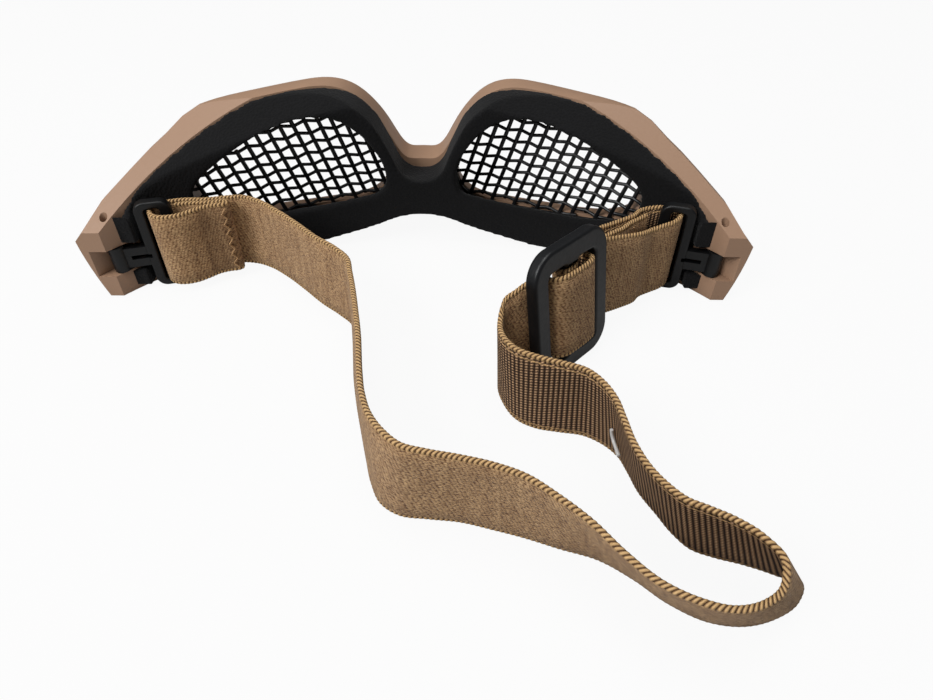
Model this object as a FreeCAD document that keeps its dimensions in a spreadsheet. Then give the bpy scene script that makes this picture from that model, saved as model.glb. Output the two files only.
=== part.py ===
import FreeCAD, Part
import math
import os
import re
import Sketcher

# Mesh goggles lying on a table, seen from behind.
# +X is the wearer's right, +Y is the way the wearer looks, +Z is up and z = 0 is the table.
# x = 0 is the plane of symmetry of the frame. All sizes are in millimetres.

os.makedirs("parts", exist_ok=True)
doc = FreeCAD.newDocument("mesh_goggles")
sheet = doc.addObject("Spreadsheet::Sheet", "Sizes")
Vector = FreeCAD.Vector

# The sizes, one name each.
SIZES = {
    # The wrap: the frame's faces are arcs about one upright axis behind the lenses.
    "wrap_centre_y": -27.0,
    "wrap_radius": 95.0,
    "belly_bulge": 1.9,
    "belly_z": 15.0,
    "foot_tuck": 0.6,
    "frame_top_z": 41.8,
    "frame_half_width": 82.5,
    "inner_radius": 96.0,
    "inner_shift": 7.5,
    "brow_corner_x": 54.5,
    "overrun": 6.0,
    # The temple blocks at the ends of the frame.
    "temple_rear_y": 51.3,
    "temple_top_z": 18.5,
    "notch_floor_z": 5.9,
    "notch_height": 7.3,
    "notch_reach": 3.1,
    "notch_wall": 1.7,
    # The lens openings.
    "lens_nose_x": 9.8,
    "lens_opening_width": 49.5,
    "lens_floor_z": 7.4,
    "lens_opening_height": 27.9,
    "lip_thickness": 2.6,
    "lens_margin": 1.8,
    "lens_thickness": 0.7,
    "lens_seat_clearance": 0.1,
    "recess_clearance": 0.3,
    "mesh_column_pitch": 3.45,
    "mesh_row_pitch": 2.85,
    "mesh_column_wire": 0.8,
    "mesh_row_wire": 0.6,
    "mesh_row_jog": 0.75,
    "mesh_window_margin": 0.5,
    "mesh_least_area": 0.35,
    "retainer_thickness": 0.8,
    "retainer_width": 1.6,
    "retainer_peg_r": 0.7,
    "retainer_peg_length": 1.8,
    "retainer_peg_clearance": 0.02,
    # The face foam.
    "foam_depth": 10.0,
    "foam_lip": 2.5,
    "foam_rear_radius": 114.0,
    "foam_rear_shift": 35.5,
    "foam_nose_x": 9.4,
    "foam_opening_width": 47.6,
    "foam_floor_z": 11.9,
    "foam_opening_height": 25.3,
    "foam_end_y": 54.6,
    "foam_end_x": 69.5,
    "foam_slope_y": 60.7,
    "foam_slope_z": 26.5,
    "foam_stem_gap": 7.6,
    # The hinges of the strap brackets.
    "hinge_x": 75.1,
    "hinge_setback": 3.2,
    "hinge_pin_r": 0.95,
    "hinge_hole_clearance": 0.02,
    "hinge_running_clearance": 0.06,
    "hinge_pin_recess": 3.5,
    "hinge_pin_foot_z": 2.2,
    # The strap brackets.
    "bracket_yaw": 16.0,
    "barrel_r": 2.0,
    "barrel_end_clearance": 0.25,
    "stem_thickness": 2.2,
    "stem_height": 5.4,
    "stem_slot_height": 1.1,
    "stem_slot_start": 3.0,
    "stem_slot_length": 4.9,
    "bracket_start": 6.9,
    "bracket_near_bar": 2.4,
    "bracket_slot": 3.6,
    "bracket_far_bar": 2.6,
    "bracket_thickness": 2.8,
    "bracket_floor_z": 0.3,
    "bracket_height": 23.7,
    "bracket_rail": 1.7,
    "bracket_corner_r": 2.6,
    "bracket_slot_r": 0.9,
    "bracket_edge_r": 0.5,
    # The webbing.
    "webbing_width": 20.0,
    "webbing_thickness": 1.5,
    "loop_floor_z": 2.05,
    # The slider.
    "slider_x": 34.5,
    "slider_y": 1.1,
    "slider_z": 16.05,
    "slider_yaw": 46.0,
    "slider_lean": 9.2,
    "slider_length": 24.6,
    "slider_height": 31.2,
    "slider_depth": 3.0,
    "slider_end_bar": 4.4,
    "slider_centre_bar": 3.2,
    "slider_centre_depth": 1.4,
    "slider_foot_rail": 3.8,
    "slider_top_rail": 4.9,
    "slider_corner_r": 6.0,
    "slider_slot_r": 1.4,
    "slider_edge_r": 0.8,
    "slider_web_drop": 0.6,
    # The stitches and the tag fastener.
    "stitch_r": 0.2,
    "stitch_stand_off": 0.08,
    "tag_r": 0.35,
    "tag_stand_off": 0.15,
}

# Outline points as shares of the half width and of the height of the frame.
FRAME_TOP_SHARES = (
    (0.0, 0.502), (0.046, 0.507), (0.086, 0.594), (0.112, 0.692), (0.138, 0.778), (0.166, 0.852),
    (0.200, 0.921), (0.238, 0.970), (0.285, 0.998), (0.376, 0.998), (0.521, 0.974), (0.618, 0.959),
)
FRAME_BOTTOM_SHARES = (
    (0.0, 0.227), (0.061, 0.215), (0.121, 0.167), (0.194, 0.096), (0.267, 0.038), (0.327, 0.010),
)
FRAME_FOOT_SHARE = 0.376
BROW_CORNER_SHARE = 0.945
TEMPLE_TRIM_SHARES = (
    (0.710, 0.895), (0.758, 0.818), (0.801, 0.758), (0.851, 0.679), (0.920, 0.567), (0.970, 0.443),
    (1.03, 0.318),
)
TEMPLE_RISE_SHARE = 0.8
FOAM_TOP_SHARES = (
    (0.0, 0.447), (0.050, 0.474), (0.073, 0.526), (0.092, 0.615), (0.115, 0.715), (0.141, 0.815),
    (0.176, 0.895), (0.209, 0.946), (0.243, 0.974), (0.291, 0.992), (0.347, 0.996), (0.415, 0.990),
    (0.485, 0.971), (0.548, 0.947), (0.611, 0.919),
)
FOAM_BOTTOM_SHARES = (
    (0.0, 0.206), (0.061, 0.196), (0.121, 0.158), (0.194, 0.110), (0.267, 0.077), (0.327, 0.053),
    (0.400, 0.036),
)
FOAM_FOOT_SHARE = 0.026
FOAM_RISE_SHARE = 1.3
FOAM_INNER_SHARES = (
    (0.0, 0.0), (0.267, 0.22), (0.485, 0.73), (0.588, 1.04), (0.679, 1.33), (0.745, 1.56), (0.800, 1.80),
)
FOAM_STEP_SHARE = 2.03

# Points round an opening as shares of its width and height, from the nose side over the top.
LENS_SHARES = (
    (0.0, 0.403), (0.025, 0.623), (0.085, 0.806), (0.166, 0.938), (0.287, 1.0), (0.428, 0.989),
    (0.610, 0.905), (0.780, 0.785), (0.930, 0.630), (1.0, 0.450), (0.985, 0.265), (0.885, 0.110),
    (0.700, 0.026), (0.475, 0.0), (0.250, 0.007), (0.097, 0.066), (0.021, 0.201),
)
FOAM_OPENING_SHARES = (
    (0.0, 0.300), (0.017, 0.478), (0.055, 0.625), (0.113, 0.771), (0.191, 0.901), (0.286, 0.980),
    (0.391, 1.0), (0.496, 0.964), (0.632, 0.885), (0.769, 0.755), (0.895, 0.605), (0.979, 0.458),
    (1.0, 0.320), (0.958, 0.154), (0.853, 0.051), (0.727, 0.004), (0.580, 0.0), (0.433, 0.012),
    (0.265, 0.043), (0.118, 0.091), (0.029, 0.158),
)
PEG_SHARES = ((0.02, 0.40), (0.38, 1.0), (0.93, 0.62), (0.45, 0.0))
PEG_MARGIN_SHARE = 0.55

# A face looks along an axis if its normal reaches this share of it.
ALONG_SHARE = 0.99

# The weave of the lenses: how its wires lean, and how many are drawn past the opening.
MESH_LEAN_SHARE = 0.33
MESH_ROW_FALL_SHARE = 0.09
MESH_SPARE_COLUMNS = 4
MESH_SPARE_ROWS = 3
MESH_RIM_POINTS = 61

# The route of the webbing, chosen by hand. In a bracket's directions: how far from the hinge and how
# far across, negative towards the near side. It starts at the hem inside the left loop and turns back
# at the sewn fold.
LEFT_LOOP_ROUTE = (
    (16.3, 0.9), (18.0, 1.05), (20.0, 0.85), (22.8, 0.2), (25.2, 0.0), (27.8, 0.0), (28.38, -0.24),
    (28.63, -0.82), (28.38, -1.41), (27.8, -1.65), (25.2, -1.65), (22.8, -2.1), (20.0, -3.5), (17.3, -4.6),
    (14.6, -4.8), (12.2, -4.0), (10.9, -2.3), (10.6, 0.0), (11.1, 1.7), (12.5, 2.55), (14.8, 3.0),
    (17.5, 3.15), (20.3, 2.6), (23.0, 1.9), (26.0, 1.65), (29.6, 1.5),
)

# On the table: the x and y of the lower edge and how far the upper edge leans from it in x and y.
LEFT_SPAN_ROUTE = (
    (-43.6, 36.9, -0.6, 0.9), (-40.0, 35.5, -0.4, 0.9), (-35.0, 31.8, -0.2, 0.6), (-29.0, 26.0, 0.2, 0.4),
    (-23.4, 20.2, 0.5, 0.2), (-18.4, 15.9, 0.6, 0.3), (-15.0, 12.2, 0.5, 0.1), (-14.2, 8.0, 0.8, 0.1),
    (-13.2, 1.2, 1.4, 0.2), (-12.2, -6.2, 1.9, 0.3), (-10.6, -14.1, 1.8, 0.3), (-8.5, -22.5, 0.9, 0.0),
    (-6.6, -29.8, 0.4, 0.0), (-5.2, -34.9, 0.7, 0.3),
)
TABLE_ROUTE = (
    (-3.1, -39.3, 1.2, 0.8), (0.4, -41.7, 0.8, 0.2), (5.6, -42.4, 0.1, -0.6), (11.3, -43.0, -0.4, -1.1),
    (17.4, -44.6, -0.7, -1.1), (23.2, -46.3, -1.5, -1.6), (28.9, -48.3, -2.8, -3.0), (35.4, -50.4, -4.6, -5.0),
    (41.1, -54.1, -6.0, -6.3), (46.0, -58.3, -6.6, -6.4), (51.4, -61.2, -7.2, -6.1), (56.8, -61.9, -8.0, -6.3),
    (62.2, -60.7, -8.7, -6.4), (66.8, -58.1, -9.6, -6.1), (68.6, -55.0, -10.0, -5.1), (64.8, -52.9, -8.5, -4.2),
    (60.1, -51.1, -7.3, -3.5), (55.6, -49.8, -6.4, -3.1), (52.0, -48.2, -6.0, -3.1), (49.8, -45.4, -5.9, -3.5),
)
RIGHT_SPAN_ROUTE = (
    (47.8, -41.3, -6.0, -3.9), (45.5, -36.5, -5.4, -3.5), (44.3, -31.8, -4.9, -3.0), (43.0, -27.8, -4.3, -2.4),
    (40.4, -24.6, -3.3, -1.8), (36.8, -22.3, -2.1, -1.2), (31.6, -21.3, -1.0, -0.4), (27.0, -20.3, -0.8, 0.2),
    (23.2, -17.9, -1.4, 0.3), (20.9, -13.6, -1.6, 0.2), (20.0, -8.4, -0.8, 0.0),
)
# In the slider's directions: along it, across it, and the share by which the webbing stands upright.
SLIDER_ENTRY_ROUTE = ((-15.6, 4.4, 0.5), (-13.0, 3.4, 0.2), (-10.8, 2.75, 0.0))
SLIDER_WEAVE_ROUTE = (
    (-8.8, 2.5, 0.0), (-7.5, 2.1, 0.0), (-6.6, 0.9, 0.0), (-5.9, -0.5, 0.0), (-4.9, -1.7, 0.0),
    (-3.3, -2.3, 0.0), (-1.6, -2.45, 0.0), (0.2, -2.5, 0.0), (2.1, -2.5, 0.0), (4.0, -2.4, 0.0), (5.6, -2.05, 0.0),
    (6.6, -1.25, 0.0), (6.95, -0.2, 0.0), (7.1, 0.9, 0.0), (7.6, 1.95, 0.0), (8.8, 2.5, 0.0), (10.8, 2.55, 0.0),
)
SLIDER_EXIT_ROUTE = ((13.5, 2.1, 0.05), (17.0, 1.0, 0.2), (21.5, -0.1, 0.45), (26.0, -0.9, 0.7))
RIGHT_BRACKET_ROUTE = (
    (16.8, -9.6), (14.2, -6.8), (11.9, -4.3), (10.8, -1.9), (10.6, 0.3), (11.2, 1.9), (12.6, 2.6),
    (14.5, 2.45), (16.5, 1.7), (20.2, -0.9),
)
SLIDER_RETURN_ROUTE = (
    (32.5, 5.7, 0.8), (28.5, 6.2, 0.7), (24.7, 6.7, 0.6), (20.5, 6.9, 0.4), (16.5, 6.75, 0.3), (12.8, 6.3, 0.1),
    (9.8, 6.0, 0.0), (7.0, 5.7, 0.0), (4.6, 4.95, 0.0), (2.4, 3.65, 0.0), (0.5, 2.6, 0.0), (-1.0, 2.35, 0.0),
    (-2.2, 1.75, 0.0), (-2.55, 0.7, 0.0), (-2.15, -0.3, 0.0), (-1.1, -0.72, 0.0), (0.0, -0.78, 0.0),
    (1.2, -0.7, 0.0), (2.35, -0.1, 0.0), (2.75, 0.9, 0.0), (3.3, 2.0, 0.0), (4.7, 3.05, 0.0), (7.0, 3.8, 0.0),
    (9.8, 4.25, 0.0), (12.8, 4.15, 0.1), (16.5, 3.5, 0.3), (20.5, 3.2, 0.4), (24.7, 3.4, 0.6),
    (28.5, 3.95, 0.7), (32.5, 3.85, 0.8), (34.6, 3.6, 0.8),
)
SECTIONS_PER_STEP = 3
FALL_SHARE = 0.6

# Each seam has two rows of stitches. A row is given by its node, how many sections of the route it lies
# before the node's end, and the face of the webbing that it shows on.
SEAMS = {
    "left_loop_stitching": (("strap_left_loop", 16, -1), ("strap_left_loop", 1, -1)),
    "slider_loop_stitching": (("strap_slider_wrap", 2, 1), ("strap_slider_wrap", 30, 1)),
}
STITCHES = 13

# The tag fastener: which sections it passes, its share of the webbing's width, how far it stands off.
TAG_START = 4
TAG_FACE = -1
TAG_ROUTE = ((0, 0.52, 1), (0, 0.43, 1), (1, 0.39, 1.5), (3, 0.38, 2))


def fill_sheet():
    """Write each size into its own cell, under its name."""
    for row, (name, number) in enumerate(SIZES.items(), start=1):
        cell = "B%d" % row
        sheet.set("A%d" % row, name)
        sheet.set(cell, str(number))
        sheet.setAlias(cell, name)
    doc.recompute()


def size(name):
    """The number that the sheet holds under a name."""
    return float(sheet.get(name))


def linked(text):
    """An expression in which each name of a size points at its cell."""
    def point(found):
        word = found.group(0)
        return "Sizes." + word if word in SIZES else word
    return re.sub(r"[a-z]\w*", point, text)


def bind(item, prop, text):
    """Tie a property to an expression in the names of the sizes."""
    item.setExpression(prop, linked(text))


def worked_out(text):
    """The value of an expression in the names of the sizes."""
    return float(sheet.evalExpression(linked(text)))


def new_body(name, placement=("0", "0", "0")):
    body = doc.addObject("PartDesign::Body", name)
    for axis, text in zip("xyz", placement):
        bind(body, ".Placement.Base." + axis, text)
    return body


def new_sketch(body, plane, name, height=None):
    """A sketch on one of the body's own planes, raised to a height if one is given."""
    sketch = body.newObject("Sketcher::SketchObject", name)
    support = [item for item in body.Origin.OriginFeatures if item.Role == plane][0]
    sketch.AttachmentSupport = [(support, "")]
    sketch.MapMode = "FlatFace"
    if height:
        bind(sketch, ".AttachmentOffset.Base.z", height)
    return sketch


def draw_polygon(sketch, corners):
    """A closed outline of lines whose corners are tied to expressions."""
    places = [(worked_out(across), worked_out(up)) for across, up in corners]
    first = sketch.GeometryCount
    count = len(places)
    for index, place in enumerate(places):
        following = places[(index + 1) % count]
        sketch.addGeometry(line(place, following))
    for index in range(count):
        following = first + (index + 1) % count
        sketch.addConstraint(Sketcher.Constraint("Coincident", first + index, 2, following, 1))
    for index, (place, corner) in enumerate(zip(places, corners)):
        for kind, coordinate, text in zip(("DistanceX", "DistanceY"), place, corner):
            rule = Sketcher.Constraint(kind, -1, 1, first + index, 1, coordinate)
            number = sketch.addConstraint(rule)
            sketch.setExpression("Constraints[%d]" % number, linked(text))


def draw_circle(sketch, across, up, radius):
    """A circle whose centre and radius are tied to expressions."""
    centre = Vector(worked_out(across), worked_out(up), 0)
    index = sketch.addGeometry(Part.Circle(centre, Vector(0, 0, 1), worked_out(radius)))
    rules = (
        (Sketcher.Constraint("DistanceX", -1, 1, index, 3, centre.x), across),
        (Sketcher.Constraint("DistanceY", -1, 1, index, 3, centre.y), up),
        (Sketcher.Constraint("Radius", index, worked_out(radius)), radius),
    )
    for rule, text in rules:
        number = sketch.addConstraint(rule)
        sketch.setExpression("Constraints[%d]" % number, linked(text))


def spline(places, closed=False):
    """A smooth curve through places in the plane of a sketch."""
    curve = Part.BSplineCurve()
    curve.interpolate([Vector(across, up, 0) for across, up in places], PeriodicFlag=closed)
    return curve


def line(start, end):
    return Part.LineSegment(Vector(start[0], start[1], 0), Vector(end[0], end[1], 0))


def draw_all(sketch, curves):
    for curve in curves:
        sketch.addGeometry(curve)


def add_pad(body, sketch, length, both_ways=False):
    pad = body.newObject("PartDesign::Pad", sketch.Name + "_pad")
    pad.Profile = sketch
    pad.Midplane = both_ways
    bind(pad, "Length", length)
    return pad


def add_pocket(body, sketch, length=None, both_ways=False, backwards=False):
    """Cut a sketch out of the body, and stop if nothing was cut."""
    doc.recompute()
    volume = body.Shape.Volume
    pocket = body.newObject("PartDesign::Pocket", sketch.Name + "_pocket")
    pocket.Profile = sketch
    pocket.Midplane = both_ways
    pocket.Reversed = backwards
    if length:
        bind(pocket, "Length", length)
    else:
        pocket.Type = "ThroughAll"
    doc.recompute()
    if not body.Shape.Volume < volume:
        raise ValueError(sketch.Name + " cuts nothing")
    return pocket


def opening_points(side, nose_x, width, floor_z, height, shares, margin=0.0):
    """Places round an opening, grown by a margin on every side."""
    points = []
    for across, up in shares:
        x = nose_x - margin + across * (width + 2 * margin)
        z = floor_z - margin + up * (height + 2 * margin)
        points.append((side * x, z))
    return points


def lens_points(side, margin):
    return opening_points(side, size("lens_nose_x"), size("lens_opening_width"), size("lens_floor_z"),
                          size("lens_opening_height"), LENS_SHARES, margin)


def foam_opening_points(side):
    return opening_points(side, size("foam_nose_x"), size("foam_opening_width"), size("foam_floor_z"),
                          size("foam_opening_height"), FOAM_OPENING_SHARES)


def frame_places(shares, side=1):
    return [(side * across * size("frame_half_width"), up * size("frame_top_z")) for across, up in shares]


def mirrored_run(places):
    """Places from the left end to the right end of an outline that is the same on both sides."""
    return [(-across, up) for across, up in reversed(places[1:])] + places


def prism_along_y(places_or_curves, start_y, end_y):
    """A solid from a closed outline in x and z, drawn out along y."""
    face = Part.Face(Part.Wire([curve.toShape() for curve in places_or_curves]))
    face.rotate(Vector(0, 0, 0), Vector(1, 0, 0), 90)
    face.translate(Vector(0, start_y, 0))
    return face.extrude(Vector(0, end_y - start_y, 0))


# The front view of the frame and of the foam.
def frame_outline():
    half, high = size("frame_half_width"), size("frame_top_z")
    top = mirrored_run(frame_places(FRAME_TOP_SHARES) + [(size("brow_corner_x"), BROW_CORNER_SHARE * high)])
    bottom = mirrored_run(frame_places(FRAME_BOTTOM_SHARES) + [(FRAME_FOOT_SHARE * half, 0.0)])
    end_x = TEMPLE_TRIM_SHARES[-1][0] * half
    right = [top[-1]] + frame_places(TEMPLE_TRIM_SHARES) + [(end_x, 0.0), bottom[-1]]
    left = [(-across, up) for across, up in right]
    curves = [spline(top)] + [line(a, b) for a, b in zip(right, right[1:])] + [spline(bottom)]
    return curves + [line(a, b) for a, b in zip(left, left[1:])]


def foam_outline():
    end_x = TEMPLE_TRIM_SHARES[-1][0] * size("frame_half_width")
    foot_z = FOAM_FOOT_SHARE * size("frame_top_z")
    corner = (size("brow_corner_x"), FOAM_TOP_SHARES[-1][1] * size("frame_top_z"))
    top = mirrored_run(frame_places(FOAM_TOP_SHARES) + [corner])
    bottom = mirrored_run(frame_places(FOAM_BOTTOM_SHARES))
    right = [top[-1]] + frame_places(TEMPLE_TRIM_SHARES)
    right += [(end_x, foot_z), (size("brow_corner_x"), foot_z), bottom[-1]]
    left = [(-across, up) for across, up in right]
    curves = [spline(top)] + [line(a, b) for a, b in zip(right, right[1:])] + [spline(bottom)]
    return curves + [line(a, b) for a, b in zip(left, left[1:])]


def draw_trim(sketch, curves):
    """The outline inside a wide rectangle, so that a pocket takes away all that lies outside it."""
    far = size("frame_half_width") + size("overrun")
    high = size("frame_top_z") + size("overrun")
    low = -size("overrun")
    ring = [(-far, low), (far, low), (far, high), (-far, high), (-far, low)]
    draw_all(sketch, [line(a, b) for a, b in zip(ring, ring[1:])])
    draw_all(sketch, curves)


def slope_corners(foot_y, foot_z, rise):
    """The side view of all that lies above a slope which climbs forward from a foot."""
    back = "%s - overrun" % foot_y
    front = "wrap_radius + belly_bulge + overrun"
    low = "%s - overrun * %s" % (foot_z, rise)
    top = "%s + (%s - %s) * %s" % (foot_z, front, foot_y, rise)
    high = "%s + overrun * %s" % (top, rise)
    return (back, low), (front, top), (front, high), (back, high)


def frame_body():
    """The moulded frame before its lens recesses: an arc-shaped wall with two temple blocks."""
    body = new_body("frame_blank", ("0", "wrap_centre_y", "0"))
    section = new_sketch(body, "XZ_Plane", "frame_section")
    radius, belly = size("wrap_radius"), size("belly_bulge")
    foot, top = radius - size("foot_tuck"), size("frame_top_z")
    high = top + size("overrun")
    inside = size("inner_radius") - size("inner_shift") - size("overrun")
    face = Part.Arc(Vector(foot, 0, 0), Vector(radius + belly, size("belly_z"), 0), Vector(radius, top, 0))
    ring = [(radius, top), (radius, high), (inside, high), (inside, 0), (foot, 0)]
    draw_all(section, [face] + [line(a, b) for a, b in zip(ring, ring[1:])])
    doc.recompute()
    turn = body.newObject("PartDesign::Revolution", "frame_wrap")
    turn.Profile = section
    turn.ReferenceAxis = (section, ["V_Axis"])
    turn.Angle = 360
    inner = new_sketch(body, "XY_Plane", "frame_inner")
    draw_circle(inner, "0", "-inner_shift", "inner_radius")
    add_pocket(body, inner, backwards=True)
    rear = new_sketch(body, "XY_Plane", "frame_rear")
    wide = "wrap_radius + belly_bulge + overrun"
    back = "-(%s)" % wide
    draw_polygon(rear, ((back, back), (wide, back), (wide, "temple_rear_y"), (back, "temple_rear_y")))
    add_pocket(body, rear, backwards=True)
    trim = new_sketch(body, "XZ_Plane", "frame_front_view")
    draw_trim(trim, frame_outline())
    add_pocket(body, trim, both_ways=True)
    slope = new_sketch(body, "YZ_Plane", "frame_side_slope")
    draw_polygon(slope, slope_corners("temple_rear_y", "temple_top_z", TEMPLE_RISE_SHARE))
    add_pocket(body, slope, both_ways=True)
    for side, name in ((1, "right"), (-1, "left")):
        window = new_sketch(body, "XZ_Plane", name + "_lens_window")
        draw_all(window, [spline(lens_points(side, 0.0), closed=True)])
        add_pocket(body, window)
        notch = new_sketch(body, "XY_Plane", name + "_notch", height="notch_floor_z")
        draw_all(notch, notch_outline(side))
        add_pocket(body, notch, "notch_height", backwards=True)
        hole = new_sketch(body, "XY_Plane", name + "_pin_hole", height="hinge_pin_foot_z")
        radius = "hinge_pin_r + hinge_hole_clearance"
        draw_circle(hole, "%d * hinge_x" % side, "temple_rear_y + hinge_setback", radius)
        add_pocket(body, hole, backwards=True)
    return body


def notch_outline(side):
    """The notch in a temple block, open to the rear and to the inner side, closed by an outer wall."""
    radius = size("wrap_radius") + size("belly_bulge") - size("notch_wall")
    front_y = size("temple_rear_y") + size("hinge_setback") + size("notch_reach")
    back_y = size("temple_rear_y") - size("overrun")
    inner_x = size("foam_end_x") - size("overrun")
    front_x = math.sqrt(radius ** 2 - front_y ** 2)
    back_x = math.sqrt(radius ** 2 - back_y ** 2)
    middle_y = (front_y + back_y) / 2
    middle_x = math.sqrt(radius ** 2 - middle_y ** 2)
    arc = [Vector(side * x, y, 0) for x, y in ((back_x, back_y), (middle_x, middle_y), (front_x, front_y))]
    ring = [(front_x, front_y), (inner_x, front_y), (inner_x, back_y), (back_x, back_y)]
    ring = [(side * x, y) for x, y in ring]
    return [Part.Arc(*arc)] + [line(a, b) for a, b in zip(ring, ring[1:])]


def lens_cylinder(radius):
    """A tall cylinder about the wrap's axis, for shapes that follow the wrap."""
    height = size("frame_top_z") + 2 * size("overrun")
    return Part.makeCylinder(radius, height, Vector(0, 0, -size("overrun")))


def shell_piece(side, margin, outer_radius, thickness):
    """A curved plate behind the lip, with the outline of the lens grown by a margin."""
    outline = spline(lens_points(side, margin), closed=True)
    shell = lens_cylinder(outer_radius).cut(lens_cylinder(outer_radius - thickness))
    return shell.common(prism_along_y([outline], 0, size("wrap_radius") + size("overrun")))


def lip_radius():
    return size("wrap_radius") - size("lip_thickness")


def lens_radius():
    return lip_radius() - size("lens_seat_clearance")


def retainer_radius():
    return lens_radius() - size("lens_thickness") - size("lens_seat_clearance")


def peg(side, across, up, start_radius, length, radius):
    """A short round peg beside the lens opening that points out along the wrap's radius."""
    beside = size("lens_margin") * PEG_MARGIN_SHARE
    place = opening_points(side, size("lens_nose_x"), size("lens_opening_width"), size("lens_floor_z"),
                           size("lens_opening_height"), ((across, up),), beside)[0]
    away = Vector(place[0], math.sqrt(lip_radius() ** 2 - place[0] ** 2), 0)
    away.normalize()
    start = away * start_radius + Vector(0, 0, place[1])
    return Part.makeCylinder(radius, length, start, away)


def add_shape(name, shape, placement=None):
    """Put a shape that code has made into the document under its own name."""
    item = doc.addObject("Part::Feature", name)
    item.Shape = shape
    if placement:
        item.Placement = placement
    return item


def wrap_placement():
    return FreeCAD.Placement(Vector(0, size("wrap_centre_y"), 0), FreeCAD.Rotation())


def front_frame():
    """The frame with the recesses that the lenses and their retainers drop into from behind."""
    blank = frame_body()
    margin = size("lens_margin") + size("recess_clearance")
    start = lip_radius() - size("overrun")
    length = size("overrun") + size("retainer_peg_length")
    radius = size("retainer_peg_r") + size("retainer_peg_clearance")
    tools = []
    for side in (1, -1):
        tools.append(shell_piece(side, margin, lip_radius(), size("lip_thickness") + size("overrun")))
        tools += [peg(side, across, up, start, length, radius) for across, up in PEG_SHARES]
    recess = add_shape("lens_recess_tool", Part.makeCompound(tools), wrap_placement())
    cut = doc.addObject("Part::Cut", "front_frame")
    cut.Base = blank
    cut.Tool = recess
    return cut


def mesh_node(side, column, row):
    """Where a slanted wire meets a jogging cross wire, on the lens's outer face."""
    jog = size("mesh_row_jog") * (0.5 if (column + row) % 2 else -0.5)
    height = row * size("mesh_row_pitch") + jog - MESH_ROW_FALL_SHARE * column * size("mesh_column_pitch")
    along = size("lens_nose_x") + column * size("mesh_column_pitch") + MESH_LEAN_SHARE * height
    return along, size("lens_floor_z") + height


def mesh_gap(side, column, row):
    """The four corners of one gap between the wires, seen from the front."""
    beside, above = size("mesh_column_wire") / 2, size("mesh_row_wire") / 2
    corners = []
    for across, up, step_x, step_z in ((0, 0, 1, 1), (1, 0, -1, 1), (1, 1, -1, -1), (0, 1, 1, -1)):
        along, height = mesh_node(side, column + across, row + up)
        along += step_x * beside + MESH_LEAN_SHARE * step_z * above
        corners.append((side * lens_radius() * math.sin(along / lens_radius()), height + step_z * above))
    return corners


def clipped(outline, corners):
    """The part of an outline that lies inside a convex polygon, by cutting along each of its sides."""
    turn = sum(a[0] * b[1] - b[0] * a[1] for a, b in zip(corners, corners[1:] + corners[:1]))
    if turn < 0:
        corners = corners[::-1]
    for start, end in zip(corners, corners[1:] + corners[:1]):
        run, rise = end[0] - start[0], end[1] - start[1]
        inside = [run * (place[1] - start[1]) - rise * (place[0] - start[0]) for place in outline]
        kept = []
        for index, place in enumerate(outline):
            last, before = outline[index - 1], inside[index - 1]
            if (before < 0) != (inside[index] < 0):
                share = before / (before - inside[index])
                kept.append((last[0] + (place[0] - last[0]) * share, last[1] + (place[1] - last[1]) * share))
            if inside[index] >= 0:
                kept.append(place)
        outline = kept
        if len(outline) < 3:
            return []
    return outline


def area(places):
    return abs(sum(a[0] * b[1] - b[0] * a[1] for a, b in zip(places, places[1:] + places[:1]))) / 2


def mesh_lens(side):
    """A woven wire lens: straight slanted wires, crossed by wires that jog between them."""
    plate = shell_piece(side, size("lens_margin"), lens_radius(), size("lens_thickness"))
    rim = spline(lens_points(side, size("mesh_window_margin")), closed=True)
    window = [(place.x, place.y) for place in rim.discretize(MESH_RIM_POINTS)][:-1]
    columns = int(size("lens_opening_width") / size("mesh_column_pitch")) + MESH_SPARE_COLUMNS
    rows = int(size("lens_opening_height") / size("mesh_row_pitch")) + MESH_SPARE_ROWS
    gaps = []
    for column in range(-MESH_SPARE_COLUMNS, columns):
        for row in range(-1, rows):
            outline = clipped(window, mesh_gap(side, column, row))
            if outline and area(outline) > size("mesh_least_area"):
                sides = [line(a, b) for a, b in zip(outline, outline[1:] + outline[:1])]
                gaps.append(prism_along_y(sides, 0, size("wrap_radius") + size("overrun")))
    pegs = [peg(side, across, up, lens_radius() - size("overrun"), 2 * size("overrun"),
                size("retainer_peg_r") + size("lens_seat_clearance")) for across, up in PEG_SHARES]
    return plate.cut(gaps + pegs)


def lens_retainer(side):
    """The ring behind a lens, with pegs that pass through the lens into the lip of the frame."""
    radius, thickness = retainer_radius(), size("retainer_thickness")
    ring = shell_piece(side, size("lens_margin"), radius, thickness)
    inner = lens_points(side, size("lens_margin") - size("retainer_width"))
    hole = prism_along_y([spline(inner, closed=True)], 0, size("wrap_radius") + size("overrun"))
    start = radius - thickness / 2
    length = lip_radius() + size("retainer_peg_length") - start
    pegs = [peg(side, across, up, start, length, size("retainer_peg_r")) for across, up in PEG_SHARES]
    return ring.cut(hole).fuse(pegs)


def face_foam():
    """The foam with a wider hollow behind its soft rear lip, so that the lip hangs over the lens."""
    blank = foam_body()
    rear = size("foam_rear_radius") + size("foam_lip")
    height = size("frame_top_z") + 2 * size("overrun")
    kept = Part.makeCylinder(rear, height, Vector(0, -size("foam_rear_shift"), -size("overrun")))
    tools = []
    for side in (1, -1):
        outline = spline(lens_points(side, 0.0), closed=True)
        tools.append(prism_along_y([outline], 0, size("wrap_radius") + size("overrun")).cut(kept))
    hollow = add_shape("foam_hollow_tool", Part.makeCompound(tools), wrap_placement())
    cut = doc.addObject("Part::Cut", "face_foam")
    cut.Base = blank
    cut.Tool = hollow
    return cut


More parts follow.
